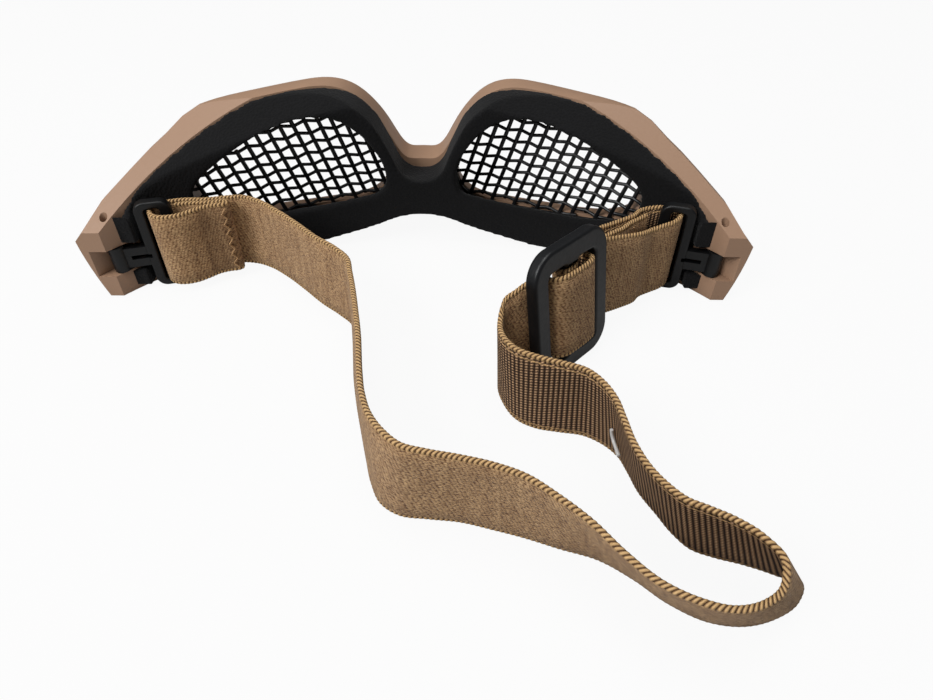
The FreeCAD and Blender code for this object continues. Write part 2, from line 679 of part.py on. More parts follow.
def foam_body():
    """One foam seal behind both lenses, thinner at the sides, with two end blocks beside each stem."""
    body = new_body("foam_blank", ("0", "wrap_centre_y", "0"))
    plan = new_sketch(body, "XY_Plane", "foam_plan")
    radius, shift = size("inner_radius"), size("inner_shift")
    nose_y = radius - shift - size("foam_depth")
    depth, half = size("foam_depth"), size("frame_half_width")
    inner = [(across * half, nose_y - drop * depth) for across, drop in FOAM_INNER_SHARES]
    end_x, end_y = size("foam_end_x"), size("foam_end_y")
    step = (end_x, nose_y - FOAM_STEP_SHARE * depth)
    outer_x = math.sqrt(radius ** 2 - (end_y + shift) ** 2)
    back = Part.Arc(Vector(-outer_x, end_y, 0), Vector(0, radius - shift, 0), Vector(outer_x, end_y, 0))
    run = mirrored_run(inner)
    curves = [back, spline(run)]
    for side, last in ((1, run[-1]), (-1, run[0])):
        ends = [(side * outer_x, end_y), (side * end_x, end_y), (side * step[0], step[1]), last]
        curves += [line(a, b) for a, b in zip(ends, ends[1:])]
    draw_all(plan, curves)
    add_pad(body, plan, "frame_top_z + overrun")
    trim = new_sketch(body, "XZ_Plane", "foam_front_view")
    draw_trim(trim, foam_outline())
    add_pocket(body, trim, both_ways=True)
    slopes = (("foam_temple_slope", "temple_rear_y", "temple_top_z", TEMPLE_RISE_SHARE),
              ("foam_side_slope", "foam_slope_y", "foam_slope_z", FOAM_RISE_SHARE))
    for name, foot_y, foot_z, rise in slopes:
        slope = new_sketch(body, "YZ_Plane", name)
        draw_polygon(slope, slope_corners(foot_y, foot_z, rise))
        add_pocket(body, slope, both_ways=True)
    for side, name in ((1, "right"), (-1, "left")):
        window = new_sketch(body, "XZ_Plane", name + "_foam_window")
        draw_all(window, [spline(foam_opening_points(side), closed=True)])
        add_pocket(body, window)
        gap = new_sketch(body, "XY_Plane", name + "_stem_gap", height="notch_floor_z")
        inner, outer = "%d * (foam_end_x - overrun)" % side, "%d * frame_half_width" % side
        rear, front = "temple_rear_y", "temple_rear_y + hinge_setback + notch_reach"
        draw_polygon(gap, ((inner, rear), (outer, rear), (outer, front), (inner, front)))
        add_pocket(body, gap, "foam_stem_gap", backwards=True)
    return body


def hinge_pin(name, side):
    """A steel pin set below the top of the temple block."""
    pin = doc.addObject("Part::Cylinder", name)
    mouth = "temple_top_z + hinge_setback * %s" % TEMPLE_RISE_SHARE
    bind(pin, "Radius", "hinge_pin_r")
    bind(pin, "Height", mouth + " - hinge_pin_recess - hinge_pin_foot_z")
    bind(pin, ".Placement.Base.x", "%d * hinge_x" % side)
    bind(pin, ".Placement.Base.y", "wrap_centre_y + temple_rear_y + hinge_setback")
    bind(pin, ".Placement.Base.z", "hinge_pin_foot_z")
    return pin


def rounded_rectangle(sketch, left, right, low, high, radius):
    """Draw a rectangle with round corners from its four sides."""
    cut = radius * (1 - math.sqrt(0.5))
    corners = (
        ((right - radius, low), (right - cut, low + cut), (right, low + radius)),
        ((right, high - radius), (right - cut, high - cut), (right - radius, high)),
        ((left + radius, high), (left + cut, high - cut), (left, high - radius)),
        ((left, low + radius), (left + cut, low + cut), (left + radius, low)),
    )
    for corner, following in zip(corners, corners[1:] + corners[:1]):
        arc = Part.Arc(*[Vector(across, up, 0) for across, up in corner])
        draw_all(sketch, [arc, line(corner[-1], following[0])])


def round_faces(body, feature, radius):
    """Round the edges of the two flat faces that look along the body's own y axis."""
    doc.recompute()
    names = []
    for index, face in enumerate(feature.Shape.Faces, start=1):
        if isinstance(face.Surface, Part.Plane) and abs(face.normalAt(0, 0).y) > ALONG_SHARE:
            names.append("Face%d" % index)
    fillet = body.newObject("PartDesign::Fillet", feature.Name + "_edges")
    fillet.Base = (feature, names)
    bind(fillet, "Radius", radius)
    return fillet


def bracket_reach():
    """Distances from the hinge to the near bar, the slot, the far bar and the bracket's end."""
    start = size("bracket_start")
    slot = start + size("bracket_near_bar")
    far = slot + size("bracket_slot")
    return start, slot, far, far + size("bracket_far_bar")


def level_bar(start, end, height):
    """The corners of a bar at the middle height of the notch."""
    low, high = ["notch_floor_z + notch_height / 2 %s %s / 2" % (sign, height) for sign in "-+"]
    return (start, low), (end, low), (end, high), (start, high)


def strap_bracket(name, side):
    """The moulded loop that carries the webbing: barrel, forked stem and a four-sided ring."""
    body = new_body(name, ("%d * hinge_x" % side, "wrap_centre_y + temple_rear_y + hinge_setback", "0"))
    body.Placement = FreeCAD.Placement(body.Placement.Base, bracket_rotation(side))
    start, slot, far, end = bracket_reach()
    floor, height, rail = size("bracket_floor_z"), size("bracket_height"), size("bracket_rail")
    ring = new_sketch(body, "XZ_Plane", name + "_ring")
    rounded_rectangle(ring, start, end, floor, floor + height, size("bracket_corner_r"))
    rounded_rectangle(ring, slot, far, floor + rail, floor + height - rail, size("bracket_slot_r"))
    round_faces(body, add_pad(body, ring, "bracket_thickness", both_ways=True), "bracket_edge_r")
    barrel = new_sketch(body, "XY_Plane", name + "_barrel", height="notch_floor_z + barrel_end_clearance")
    draw_circle(barrel, "0", "0", "barrel_r")
    add_pad(body, barrel, "notch_height - 2 * barrel_end_clearance")
    stem = new_sketch(body, "XZ_Plane", name + "_stem")
    draw_polygon(stem, level_bar("0", "bracket_start + bracket_near_bar / 2", "stem_height"))
    add_pad(body, stem, "stem_thickness", both_ways=True)
    gap = new_sketch(body, "XZ_Plane", name + "_stem_slot")
    draw_polygon(gap, level_bar("stem_slot_start", "stem_slot_start + stem_slot_length", "stem_slot_height"))
    add_pocket(body, gap, both_ways=True)
    bore = new_sketch(body, "XY_Plane", name + "_bore")
    draw_circle(bore, "0", "0", "hinge_pin_r + hinge_running_clearance")
    add_pocket(body, bore, backwards=True)
    return body


def bracket_rotation(side):
    """The turn that points the bracket's own x axis inward from its hinge."""
    yaw = size("bracket_yaw")
    return FreeCAD.Rotation(Vector(0, 0, 1), yaw if side < 0 else 180 - yaw)


def bracket_placement(side):
    y = size("wrap_centre_y") + size("temple_rear_y") + size("hinge_setback")
    return FreeCAD.Placement(Vector(side * size("hinge_x"), y, 0), bracket_rotation(side))


def slider_placement():
    """The slider stands across the webbing, turned in plan and leaning away from the near side."""
    turn = FreeCAD.Rotation(Vector(0, 0, 1), size("slider_yaw"))
    lean = FreeCAD.Rotation(Vector(1, 0, 0), -size("slider_lean"))
    return FreeCAD.Placement(Vector(size("slider_x"), size("slider_y"), size("slider_z")), turn * lean)


def tri_glide_slider():
    """The strap adjuster: a rounded frame with three upright bars."""
    body = new_body("tri_glide_slider", ("slider_x", "slider_y", "slider_z"))
    body.Placement = slider_placement()
    half_length, half_height = size("slider_length") / 2, size("slider_height") / 2
    end_bar, centre = size("slider_end_bar"), size("slider_centre_bar") / 2
    low, high = size("slider_foot_rail") - half_height, half_height - size("slider_top_rail")
    face = new_sketch(body, "XZ_Plane", "slider_face")
    rounded_rectangle(face, -half_length, half_length, -half_height, half_height, size("slider_corner_r"))
    for left, right in ((-half_length + end_bar, -centre), (centre, half_length - end_bar)):
        rounded_rectangle(face, left, right, low, high, size("slider_slot_r"))
    round_faces(body, add_pad(body, face, "slider_depth", both_ways=True), "slider_edge_r")
    relief = new_sketch(body, "XZ_Plane", "slider_bar_relief")
    bind(relief, ".AttachmentOffset.Base.z", "slider_depth / 2")
    corners = ((-centre, low), (centre, low), (centre, high), (-centre, high))
    draw_all(relief, [line(a, b) for a, b in zip(corners, corners[1:] + corners[:1])])
    add_pocket(body, relief, "slider_depth - slider_centre_depth")
    return body


# The webbing is one long chain of sections. Each node is a stretch of it that ends where the next begins.
def table_station(row, floor=0.0):
    """Lower and upper edge of the webbing where it stands on the table or just above it."""
    x, y, lean_x, lean_y = row
    rise = math.sqrt(size("webbing_width") ** 2 - lean_x ** 2 - lean_y ** 2)
    return Vector(x, y, floor), Vector(x + lean_x, y + lean_y, floor + rise)


def bracket_station(side, along, across):
    """A section in a bracket's directions, whose lower edge sits on the bracket's lower rail."""
    floor = size("loop_floor_z")
    place = bracket_placement(side)
    low = place.multVec(Vector(along, -side * across, floor))
    return low, low + Vector(0, 0, size("webbing_width"))


def slider_station(along, across, upright):
    """A section in the slider's directions, turned towards upright by a share."""
    place = slider_placement()
    middle = -size("slider_web_drop")
    half = size("webbing_width") / 2
    low = place.multVec(Vector(along, across, middle - half))
    high = place.multVec(Vector(along, across, middle + half))
    level = (low + high) / 2 - Vector(0, 0, (low.z + high.z) / 2)
    straight_low = level + Vector(0, 0, size("loop_floor_z"))
    straight_high = straight_low + Vector(0, 0, size("webbing_width"))
    return low + (straight_low - low) * upright, high + (straight_high - high) * upright


def falling_stations(rows, start_floor):
    """Sections that sink from the height of a loop to the table."""
    fall = FALL_SHARE * len(rows)
    floors = [start_floor * max(0.0, 1 - (index + 1) / fall) for index in range(len(rows))]
    return [table_station(row, floor) for row, floor in zip(rows, floors)]


def webbing_chain():
    """All sections of the webbing in order, and the place in that order where each node ends."""
    floor = size("loop_floor_z")
    parts = (
        ("strap_left_loop", [bracket_station(-1, *row) for row in LEFT_LOOP_ROUTE]),
        ("strap_left_span", falling_stations(LEFT_SPAN_ROUTE, floor)),
        ("strap_main", [table_station(row) for row in TABLE_ROUTE]),
        ("strap_right_span", [table_station(row) for row in RIGHT_SPAN_ROUTE]
         + [slider_station(*row) for row in SLIDER_ENTRY_ROUTE]),
        ("strap_slider_weave", [slider_station(*row) for row in SLIDER_WEAVE_ROUTE]),
        ("strap_right_loop", [slider_station(*row) for row in SLIDER_EXIT_ROUTE]
         + [bracket_station(1, *row) for row in RIGHT_BRACKET_ROUTE]),
        ("strap_slider_wrap", [slider_station(*row) for row in SLIDER_RETURN_ROUTE]),
    )
    stations, ends = [], {}
    for name, rows in parts:
        stations += rows
        ends[name] = len(stations) - 1
    return stations, ends


def webbing_sections(stations):
    """Cross-sections along smooth curves through the lower and the upper edge of the webbing."""
    lows, highs = [low for low, high in stations], [high for low, high in stations]
    marks = [0.0]
    for (low_a, high_a), (low_b, high_b) in zip(stations, stations[1:]):
        marks.append(marks[-1] + ((low_b + high_b - low_a - high_a) / 2).Length)
    edges = []
    for places in (lows, highs):
        curve = Part.BSplineCurve()
        curve.interpolate(Points=places, Parameters=marks)
        edges.append(curve)
    half = size("webbing_thickness") / 2
    sections = []
    for index, mark in enumerate(marks):
        following = (marks + [mark])[index + 1]
        for step in range(SECTIONS_PER_STEP if following > mark else 1):
            at = mark + (following - mark) * step / SECTIONS_PER_STEP
            low, high = edges[0].value(at), edges[1].value(at)
            heading = edges[0].tangent(at)[0] + edges[1].tangent(at)[0]
            side = heading.cross(high - low)
            side.normalize()
            lift = Vector(0, 0, max(-low.z, 0.0) + abs(side.z) * half)
            side = side * half
            sections.append([low - side + lift, high - side + lift, high + side + lift, low + side + lift])
    return sections


def webbing_solid(sections):
    """A closed solid through cross-sections."""
    wires = [Part.makePolygon(corners + corners[:1]) for corners in sections]
    return Part.makeLoft(wires, True, True)


def on_face(section, face, share, stand_off):
    """A place above one face of the webbing, by its share of the width."""
    low_a, high_a, high_b, low_b = section
    outward = low_b - low_a if face > 0 else low_a - low_b
    low, high = (low_b, high_b) if face > 0 else (low_a, high_a)
    outward.normalize()
    return low + (high - low) * share + outward * stand_off


def tube(places, radius):
    """A round thread through places, one solid."""
    pieces = [Part.makeSphere(radius, place) for place in places]
    for start, end in zip(places, places[1:]):
        pieces.append(Part.makeCylinder(radius, (end - start).Length, start, end - start))
    return pieces[0].fuse(pieces[1:])


def zigzag_thread(sections, station, face):
    """A row of slanted stitches on one face of the webbing."""
    first = station * SECTIONS_PER_STEP
    stand_off = size("stitch_r") + size("stitch_stand_off")
    places = []
    for index in range(STITCHES):
        section = sections[first + index % 2]
        places.append(on_face(section, face, (index + 1) / (STITCHES + 1), stand_off))
    return tube(places, size("stitch_r"))


def tag_fastener(sections, station):
    """The cut end of a nylon tag fastener that stands against the webbing."""
    first = station * SECTIONS_PER_STEP
    stand_off = size("tag_r") + size("tag_stand_off")
    places = []
    for back, share, away in TAG_ROUTE:
        places.append(on_face(sections[first - back], TAG_FACE, share, away * stand_off))
    return tube(places, size("tag_r"))


def webbing_nodes():
    """The stitches, the tag fastener and the stretches of webbing between the joints."""
    stations, ends = webbing_chain()
    sections = webbing_sections(stations)
    nodes = []
    first = 0
    for name, rows in SEAMS.items():
        threads = [zigzag_thread(sections, ends[node] - from_end, face) for node, from_end, face in rows]
        nodes.append(add_shape(name, Part.makeCompound(threads)))
    nodes.append(add_shape("tag_fastener", tag_fastener(sections, ends["strap_main"] + TAG_START)))
    for name, last in ends.items():
        stretch = sections[first * SECTIONS_PER_STEP:last * SECTIONS_PER_STEP + 1]
        nodes.append(add_shape(name, webbing_solid(stretch)))
        first = last
    return nodes


def build():
    fill_sheet()
    nodes = [front_frame()]
    for side, name in ((-1, "left"), (1, "right")):
        nodes.append(add_shape(name + "_mesh_lens", mesh_lens(side), wrap_placement()))
        nodes.append(add_shape(name + "_lens_retainer", lens_retainer(side), wrap_placement()))
    nodes.append(face_foam())
    for side, name in ((-1, "left"), (1, "right")):
        nodes.append(hinge_pin(name + "_hinge_pin", side))
        nodes.append(strap_bracket(name + "_strap_bracket", side))
    nodes.append(tri_glide_slider())
    nodes += webbing_nodes()
    doc.recompute()
    return nodes


def check_and_write(nodes):
    """Stop at any failed object or shape, then write one file for each node."""
    for item in doc.Objects:
        bad = [word for word in item.State if word in ("Invalid", "Error")]
        if bad:
            raise ValueError("%s is %s" % (item.Name, bad))
    for node in nodes:
        if node.Shape.isNull() or not node.Shape.isValid():
            raise ValueError(node.Label + " has no valid shape")
        node.Shape.exportStep("parts/%s.step" % node.Label)
        box = node.Shape.BoundBox
        reach = (box.XMin, box.XMax, box.YMin, box.YMax, box.ZMin, box.ZMax)
        print("%-22s" % node.Label, len(node.Shape.Solids), "%9.1f mm3" % node.Shape.Volume, end="  ")
        print(" ".join("%6.1f" % number for number in reach))


check_and_write(build())
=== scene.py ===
# %% [markdown]
# Mesh goggles lie on a pale table, seen from behind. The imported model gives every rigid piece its
# place. This script gives those pieces their finishes, and makes anew all that is soft or woven:
# the foam, the wire lenses and the long elastic strap.

# %% The frame comes first
import math
import bmesh
import bpy
import numpy as np
from mathutils import Matrix, Vector


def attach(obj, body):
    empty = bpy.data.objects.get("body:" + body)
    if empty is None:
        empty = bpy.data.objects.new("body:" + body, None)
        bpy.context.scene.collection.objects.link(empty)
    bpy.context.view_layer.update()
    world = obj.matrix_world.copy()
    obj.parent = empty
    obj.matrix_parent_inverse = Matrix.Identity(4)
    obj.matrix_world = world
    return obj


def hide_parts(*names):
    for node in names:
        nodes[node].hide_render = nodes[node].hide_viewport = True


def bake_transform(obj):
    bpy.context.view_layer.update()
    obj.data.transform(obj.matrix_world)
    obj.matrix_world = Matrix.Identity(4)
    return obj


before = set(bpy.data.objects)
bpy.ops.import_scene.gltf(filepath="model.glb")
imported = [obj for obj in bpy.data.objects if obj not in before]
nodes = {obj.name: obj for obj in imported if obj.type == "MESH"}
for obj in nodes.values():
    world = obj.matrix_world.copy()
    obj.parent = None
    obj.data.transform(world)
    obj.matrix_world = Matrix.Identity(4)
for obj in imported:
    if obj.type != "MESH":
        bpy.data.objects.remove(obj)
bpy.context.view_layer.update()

# %% [markdown]
# The camera stands where the photographer stood: above and behind the goggles, looking down at
# their inner side. Its direction is worked out from a turn, a downward pitch and a slight roll.

# %% Camera
EYE = Vector((0.01149, -0.111, 0.10146))
PITCH, TURN, ROLL = math.radians(41.43), math.radians(0.52), math.radians(-0.74)
FOCAL_PIXELS, PICTURE_WIDTH = 650.0, 933.0

forward = Vector((math.sin(TURN) * math.cos(PITCH), math.cos(TURN) * math.cos(PITCH), -math.sin(PITCH)))
level_right = Vector((math.cos(TURN), -math.sin(TURN), 0.0))
level_down = forward.cross(level_right)
right = level_right * math.cos(ROLL) + level_down * math.sin(ROLL)
down = level_down * math.cos(ROLL) - level_right * math.sin(ROLL)

camera_data = bpy.data.cameras.new("camera")
camera_data.sensor_width = 36.0
camera_data.lens = FOCAL_PIXELS / PICTURE_WIDTH * 36.0
camera_data.clip_start = 0.005
camera = bpy.data.objects.new("camera", camera_data)
bpy.context.scene.collection.objects.link(camera)
camera.matrix_world = Matrix.Translation(EYE) @ Matrix((right, -down, -forward)).transposed().to_4x4()
bpy.context.scene.camera = camera
print("lens", round(camera_data.lens, 2), "mm")

# %% [markdown]
# The table is one pale plane. To the camera it is plain white, as in a catalogue picture, but it
# still takes the shadow of the goggles. A mix between white light and a matte surface does that:
# the share of white is high, so the shadow stays faint.

# %% Colours and small helpers for materials
def linear(red, green, blue):
    """A colour picked on a screen, as the shader wants it."""
    values = [part / 255.0 for part in (red, green, blue)]
    return tuple(v / 12.92 if v <= 0.04045 else ((v + 0.055) / 1.055) ** 2.4 for v in values) + (1.0,)


def new_material(name):
    """An empty material with its shader, ready for more nodes."""
    material = bpy.data.materials.new(name)
    material.use_nodes = True
    tree = material.node_tree
    return material, tree, tree.nodes["Principled BSDF"]


def add_node(tree, kind, **settings):
    node = tree.nodes.new(kind)
    for key, value in settings.items():
        setattr(node, key, value)
    return node


def math_node(tree, operation, first, second=0.0, third=0.0, clamp=False):
    """One step of arithmetic on numbers or on other nodes' outputs."""
    node = add_node(tree, "ShaderNodeMath", operation=operation, use_clamp=clamp)
    for socket, value in zip(node.inputs, (first, second, third)):
        if isinstance(value, (int, float)):
            socket.default_value = value
        else:
            tree.links.new(value, socket)
    return node.outputs[0]


def blend_colours(tree, share, low, high):
    """A colour between two, by a share that another node gives."""
    node = add_node(tree, "ShaderNodeMix", data_type="RGBA")
    for socket, value in ((node.inputs[0], share), (node.inputs[6], low), (node.inputs[7], high)):
        if isinstance(value, tuple):
            socket.default_value = value
        else:
            tree.links.new(value, socket)
    return node.outputs[2]


def add_bump(tree, shader, height, distance):
    """Small bumps from a height between 0 and 1, with a depth in metres."""
    node = add_node(tree, "ShaderNodeBump")
    node.inputs["Strength"].default_value = 1.0
    node.inputs["Distance"].default_value = distance
    tree.links.new(height, node.inputs["Height"])
    tree.links.new(node.outputs[0], shader.inputs["Normal"])


def noise(tree, scale, detail=3.0, roughness=0.5, place=None):
    """Soft random spots, in the object's own metres unless another place is given."""
    node = add_node(tree, "ShaderNodeTexNoise")
    node.inputs["Scale"].default_value = scale
    node.inputs["Detail"].default_value = detail
    node.inputs["Roughness"].default_value = roughness
    place = place or add_node(tree, "ShaderNodeTexCoord").outputs["Object"]
    tree.links.new(place, node.inputs["Vector"])
    return node.outputs["Fac"]


# %% The table
WHITE_SHARE = 0.93


def table_material():
    material, tree, shader = new_material("table")
    shader.inputs["Base Color"].default_value = linear(190, 190, 190)
    shader.inputs["Roughness"].default_value = 0.9
    shader.inputs["Specular IOR Level"].default_value = 0.1
    rays = add_node(tree, "ShaderNodeLightPath")
    white = add_node(tree, "ShaderNodeEmission")
    share = math_node(tree, "MULTIPLY", rays.outputs["Is Camera Ray"], WHITE_SHARE)
    mixed = add_node(tree, "ShaderNodeMixShader")
    tree.links.new(share, mixed.inputs[0])
    tree.links.new(shader.outputs[0], mixed.inputs[1])
    tree.links.new(white.outputs[0], mixed.inputs[2])
    tree.links.new(mixed.outputs[0], tree.nodes["Material Output"].inputs["Surface"])
    return material


ground = bmesh.new()
bmesh.ops.create_grid(ground, x_segments=1, y_segments=1, size=1.5)
ground_mesh = bpy.data.meshes.new("table_top")
ground.to_mesh(ground_mesh)
ground.free()
table_top = bpy.data.objects.new("table_top", ground_mesh)
bpy.context.scene.collection.objects.link(table_top)
table_top.location.z = -0.0002
table_top.data.materials.append(table_material())
print("laid the table")

# %% [markdown]
# A catalogue picture has broad soft shadows, so the lamps are square soft boxes: one overhead, and
# one to the left behind the camera. The world is white to the camera, and adds only a little light
# from all sides, so that the black pieces stay black.

# %% The lamps and the world
AMBIENT = 0.12


def lamp(name, place, aim, watts, size):
    """A square soft box that looks at a point."""
    data = bpy.data.lights.new(name, "AREA")
    data.energy = watts
    data.size = size
    item = bpy.data.objects.new(name, data)
    bpy.context.scene.collection.objects.link(item)
    item.location = place
    item.rotation_euler = (Vector(aim) - Vector(place)).to_track_quat("-Z", "Y").to_euler()


lamp("overhead_box", (0.0, 0.05, 0.80), (0.0, 0.0, 0.0), 3.9, 0.5)
lamp("left_box", (-0.46, -0.36, 0.55), (0.0, 0.0, 0.01), 5.0, 0.35)

world = bpy.data.worlds.new("studio")
bpy.context.scene.world = world
world.use_nodes = True
tree = world.node_tree
rays = add_node(tree, "ShaderNodeLightPath")
backdrop = tree.nodes["Background"]
backdrop.inputs["Color"].default_value = (1.0, 1.0, 1.0, 1.0)
seen = math_node(tree, "MAXIMUM", rays.outputs["Is Camera Ray"], rays.outputs["Is Transmission Ray"])
strength = math_node(tree, "MULTIPLY_ADD", seen, 1 - AMBIENT, AMBIENT)
tree.links.new(strength, backdrop.inputs["Strength"])
bpy.context.scene.view_settings.view_transform = "Standard"
print("stage set")

# %% [markdown]
# The moulded frame is a matte tan plastic with a very fine grain. Its colour wavers slightly over
# centimetres and its gloss over millimetres, which keeps a plain moulding from looking like paint.

# %% Moulded plastics and metal
def moulded_plastic(name, colour, deeper, roughness, grain, specular=0.5):
    material, tree, shader = new_material(name)
    cloud = noise(tree, 28.0, 2.0)
    tree.links.new(blend_colours(tree, cloud, deeper, colour), shader.inputs["Base Color"])
    fine = noise(tree, 900.0, 4.0, 0.6)
    rough = math_node(tree, "MULTIPLY_ADD", fine, 0.16, roughness - 0.08)
    tree.links.new(rough, shader.inputs["Roughness"])
    shader.inputs["Specular IOR Level"].default_value = specular
    add_bump(tree, shader, fine, grain)
    return material


frame_plastic = moulded_plastic(
    "frame_plastic", linear(160, 129, 106), linear(150, 119, 96),
    roughness=0.46, grain=0.00004, specular=0.3)
bracket_plastic = moulded_plastic(
    "bracket_plastic", linear(11, 12, 14), linear(7, 8, 9), roughness=0.46, grain=0.00005, specular=0.35)
slider_plastic = moulded_plastic(
    "slider_plastic", linear(14, 16, 19), linear(9, 10, 12), roughness=0.42, grain=0.00005, specular=0.4)
retainer_plastic = moulded_plastic(
    "retainer_plastic", linear(26, 26, 27), linear(20, 20, 21), roughness=0.6, grain=0.00006)


def painted_wire():
    """Black paint on steel wire: nearly smooth, with a few spots that shine more."""
    material, tree, shader = new_material("painted_wire")
    spots = noise(tree, 700.0, 3.0)
    colour = blend_colours(tree, spots, linear(8, 8, 9), linear(30, 30, 32))
    tree.links.new(colour, shader.inputs["Base Color"])
    tree.links.new(math_node(tree, "MULTIPLY_ADD", spots, 0.25, 0.25), shader.inputs["Roughness"])
    add_bump(tree, shader, spots, 0.00003)
    return material


def pin_steel():
    """Bare steel, scuffed where it was driven in."""
    material, tree, shader = new_material("pin_steel")
    marks = noise(tree, 1500.0, 4.0)
    colour = blend_colours(tree, marks, linear(52, 50, 48), linear(92, 90, 88))
    tree.links.new(colour, shader.inputs["Base Color"])
    shader.inputs["Metallic"].default_value = 1.0
    tree.links.new(math_node(tree, "MULTIPLY_ADD", marks, 0.3, 0.25), shader.inputs["Roughness"])
    return material


def clear_nylon():
    """Milky clear plastic that lets a quarter of the light through."""
    material, tree, shader = new_material("clear_nylon")
    cloud = noise(tree, 500.0, 2.0)
    colour = blend_colours(tree, cloud, linear(205, 203, 200), linear(232, 231, 230))
    tree.links.new(colour, shader.inputs["Base Color"])
    shader.inputs["Roughness"].default_value = 0.3
    shader.inputs["Transmission Weight"].default_value = 0.25
    add_bump(tree, shader, cloud, 0.00005)
    return material


def sewing_thread():
    """Thread is twisted, so its height runs in fine slanting bands, and its colour follows them as
    painted shade in the grooves.
    """
    material, tree, shader = new_material("sewing_thread")
    bands = add_node(tree, "ShaderNodeTexWave", bands_direction="DIAGONAL")
    bands.inputs["Scale"].default_value = 900.0
    bands.inputs["Distortion"].default_value = 1.5
    tree.links.new(add_node(tree, "ShaderNodeTexCoord").outputs["Object"], bands.inputs["Vector"])
    # Painted shade: the low bands of the twist are coloured dark brown, the high ones light.
    colour = blend_colours(tree, bands.outputs["Fac"], linear(128, 92, 60), linear(196, 158, 112))
    tree.links.new(colour, shader.inputs["Base Color"])
    shader.inputs["Roughness"].default_value = 0.8
    add_bump(tree, shader, bands.outputs["Fac"], 0.00008)
    return material


def dress(item, material):
    """Give a piece its material."""
    item.data.materials.clear()
    item.data.materials.append(material)


for side in ("left", "right"):
    dress(nodes[side + "_strap_bracket"], bracket_plastic)
    dress(nodes[side + "_lens_retainer"], retainer_plastic)
    dress(nodes[side + "_hinge_pin"], pin_steel())
dress(nodes["front_frame"], frame_plastic)
dress(nodes["tri_glide_slider"], slider_plastic)
for name in ("left_loop_stitching", "slider_loop_stitching"):
    dress(nodes[name], sewing_thread())
print("dressed the rigid pieces")

# %% [markdown]
# A moulding has no knife edges. The solids of the frame have sharp ones, so a modifier rounds them
# here. Its triangles are loose, and are first joined at their corners.

# %% Soft edges on the moulded frame
EDGE_WIDTH, CORNER_GAP, SHARP_ANGLE = 0.0005, 0.00001, 28
joined = nodes["front_frame"].modifiers.new("join_corners", "WELD")
joined.merge_threshold = CORNER_GAP
rounded = nodes["front_frame"].modifiers.new("round_edges", "BEVEL")
rounded.width = EDGE_WIDTH
rounded.segments = 3
rounded.limit_method = "ANGLE"
rounded.angle_limit = math.radians(SHARP_ANGLE)
rounded.use_clamp_overlap = True
rounded.harden_normals = True
print("rounded the frame")

# %% [markdown]
# The face seal is black open-cell foam, cut from a sheet and glued in. A copy of its solid is
# rebuilt from small cubes and smoothed, which melts its corners the way soft foam has them. Its
# grain is far smaller than that, so bump makes it, with painted shade in the middle of each pore.

# %% The foam seal
FOAM_CUBE, MELT_ROUNDS = 0.0006, 4


def foam_material():
    material, tree, shader = new_material("foam")
    place = add_node(tree, "ShaderNodeTexCoord").outputs["Object"]
    cells = add_node(tree, "ShaderNodeTexVoronoi", feature="F1")
    cells.inputs["Scale"].default_value = 1700.0
    tree.links.new(place, cells.inputs["Vector"])
    cloud = noise(tree, 90.0, 4.0, 0.6, place)
    colour = blend_colours(tree, cloud, linear(6, 6, 7), linear(17, 17, 19))
    # Painted shade: each foam cell is darkened towards near-black at its middle, where its pit lies.
    pore_shade = math_node(tree, "MULTIPLY_ADD", cells.outputs["Distance"], 0.9, 0.15, clamp=True)
    tree.links.new(blend_colours(tree, pore_shade, linear(3, 3, 4), colour), shader.inputs["Base Color"])
    shader.inputs["Roughness"].default_value = 0.92
    shader.inputs["Specular IOR Level"].default_value = 0.25
    shader.inputs["Sheen Weight"].default_value = 0.05
    height = math_node(tree, "MULTIPLY_ADD", cloud, 2.0, cells.outputs["Distance"])
    add_bump(tree, shader, height, 0.00014)
    return material


def baked(item):
    """The item's mesh with its modifiers applied, as a mesh of its own."""
    bpy.context.view_layer.update()
    finished = item.evaluated_get(bpy.context.evaluated_depsgraph_get())
    return bpy.data.meshes.new_from_object(finished)


def new_piece(name, mesh):
    item = bpy.data.objects.new(name, mesh)
    bpy.context.scene.collection.objects.link(item)
    return item


def foam_seal():
    source = nodes["face_foam"].data.copy()
    shape = bmesh.new()
    shape.from_mesh(source)
    bmesh.ops.remove_doubles(shape, verts=shape.verts, dist=CORNER_GAP)
    shape.to_mesh(source)
    shape.free()
    draft = new_piece("foam_draft", source)
    cubes = draft.modifiers.new("cubes", "REMESH")
    cubes.mode = "VOXEL"
    cubes.voxel_size = FOAM_CUBE
    melt = draft.modifiers.new("melt", "SMOOTH")
    melt.factor = 0.5
    melt.iterations = MELT_ROUNDS
    mesh = baked(draft)
    bpy.data.objects.remove(draft)
    item = new_piece("foam_seal", mesh)
    mesh.polygons.foreach_set("use_smooth", [True] * len(mesh.polygons))
    dress(item, foam_material())
    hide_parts("face_foam")
    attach(item, "frame")
    return item


print("foam", len(foam_seal().data.polygons), "faces")

# %% [markdown]
# Each lens is woven steel wire, painted black. The wires that slant up the lens are thicker and
# straight; those across zigzag between them. Every wire is a curve with a round bevel, and at each
# crossing one dips and the other rises, as in a real weave.

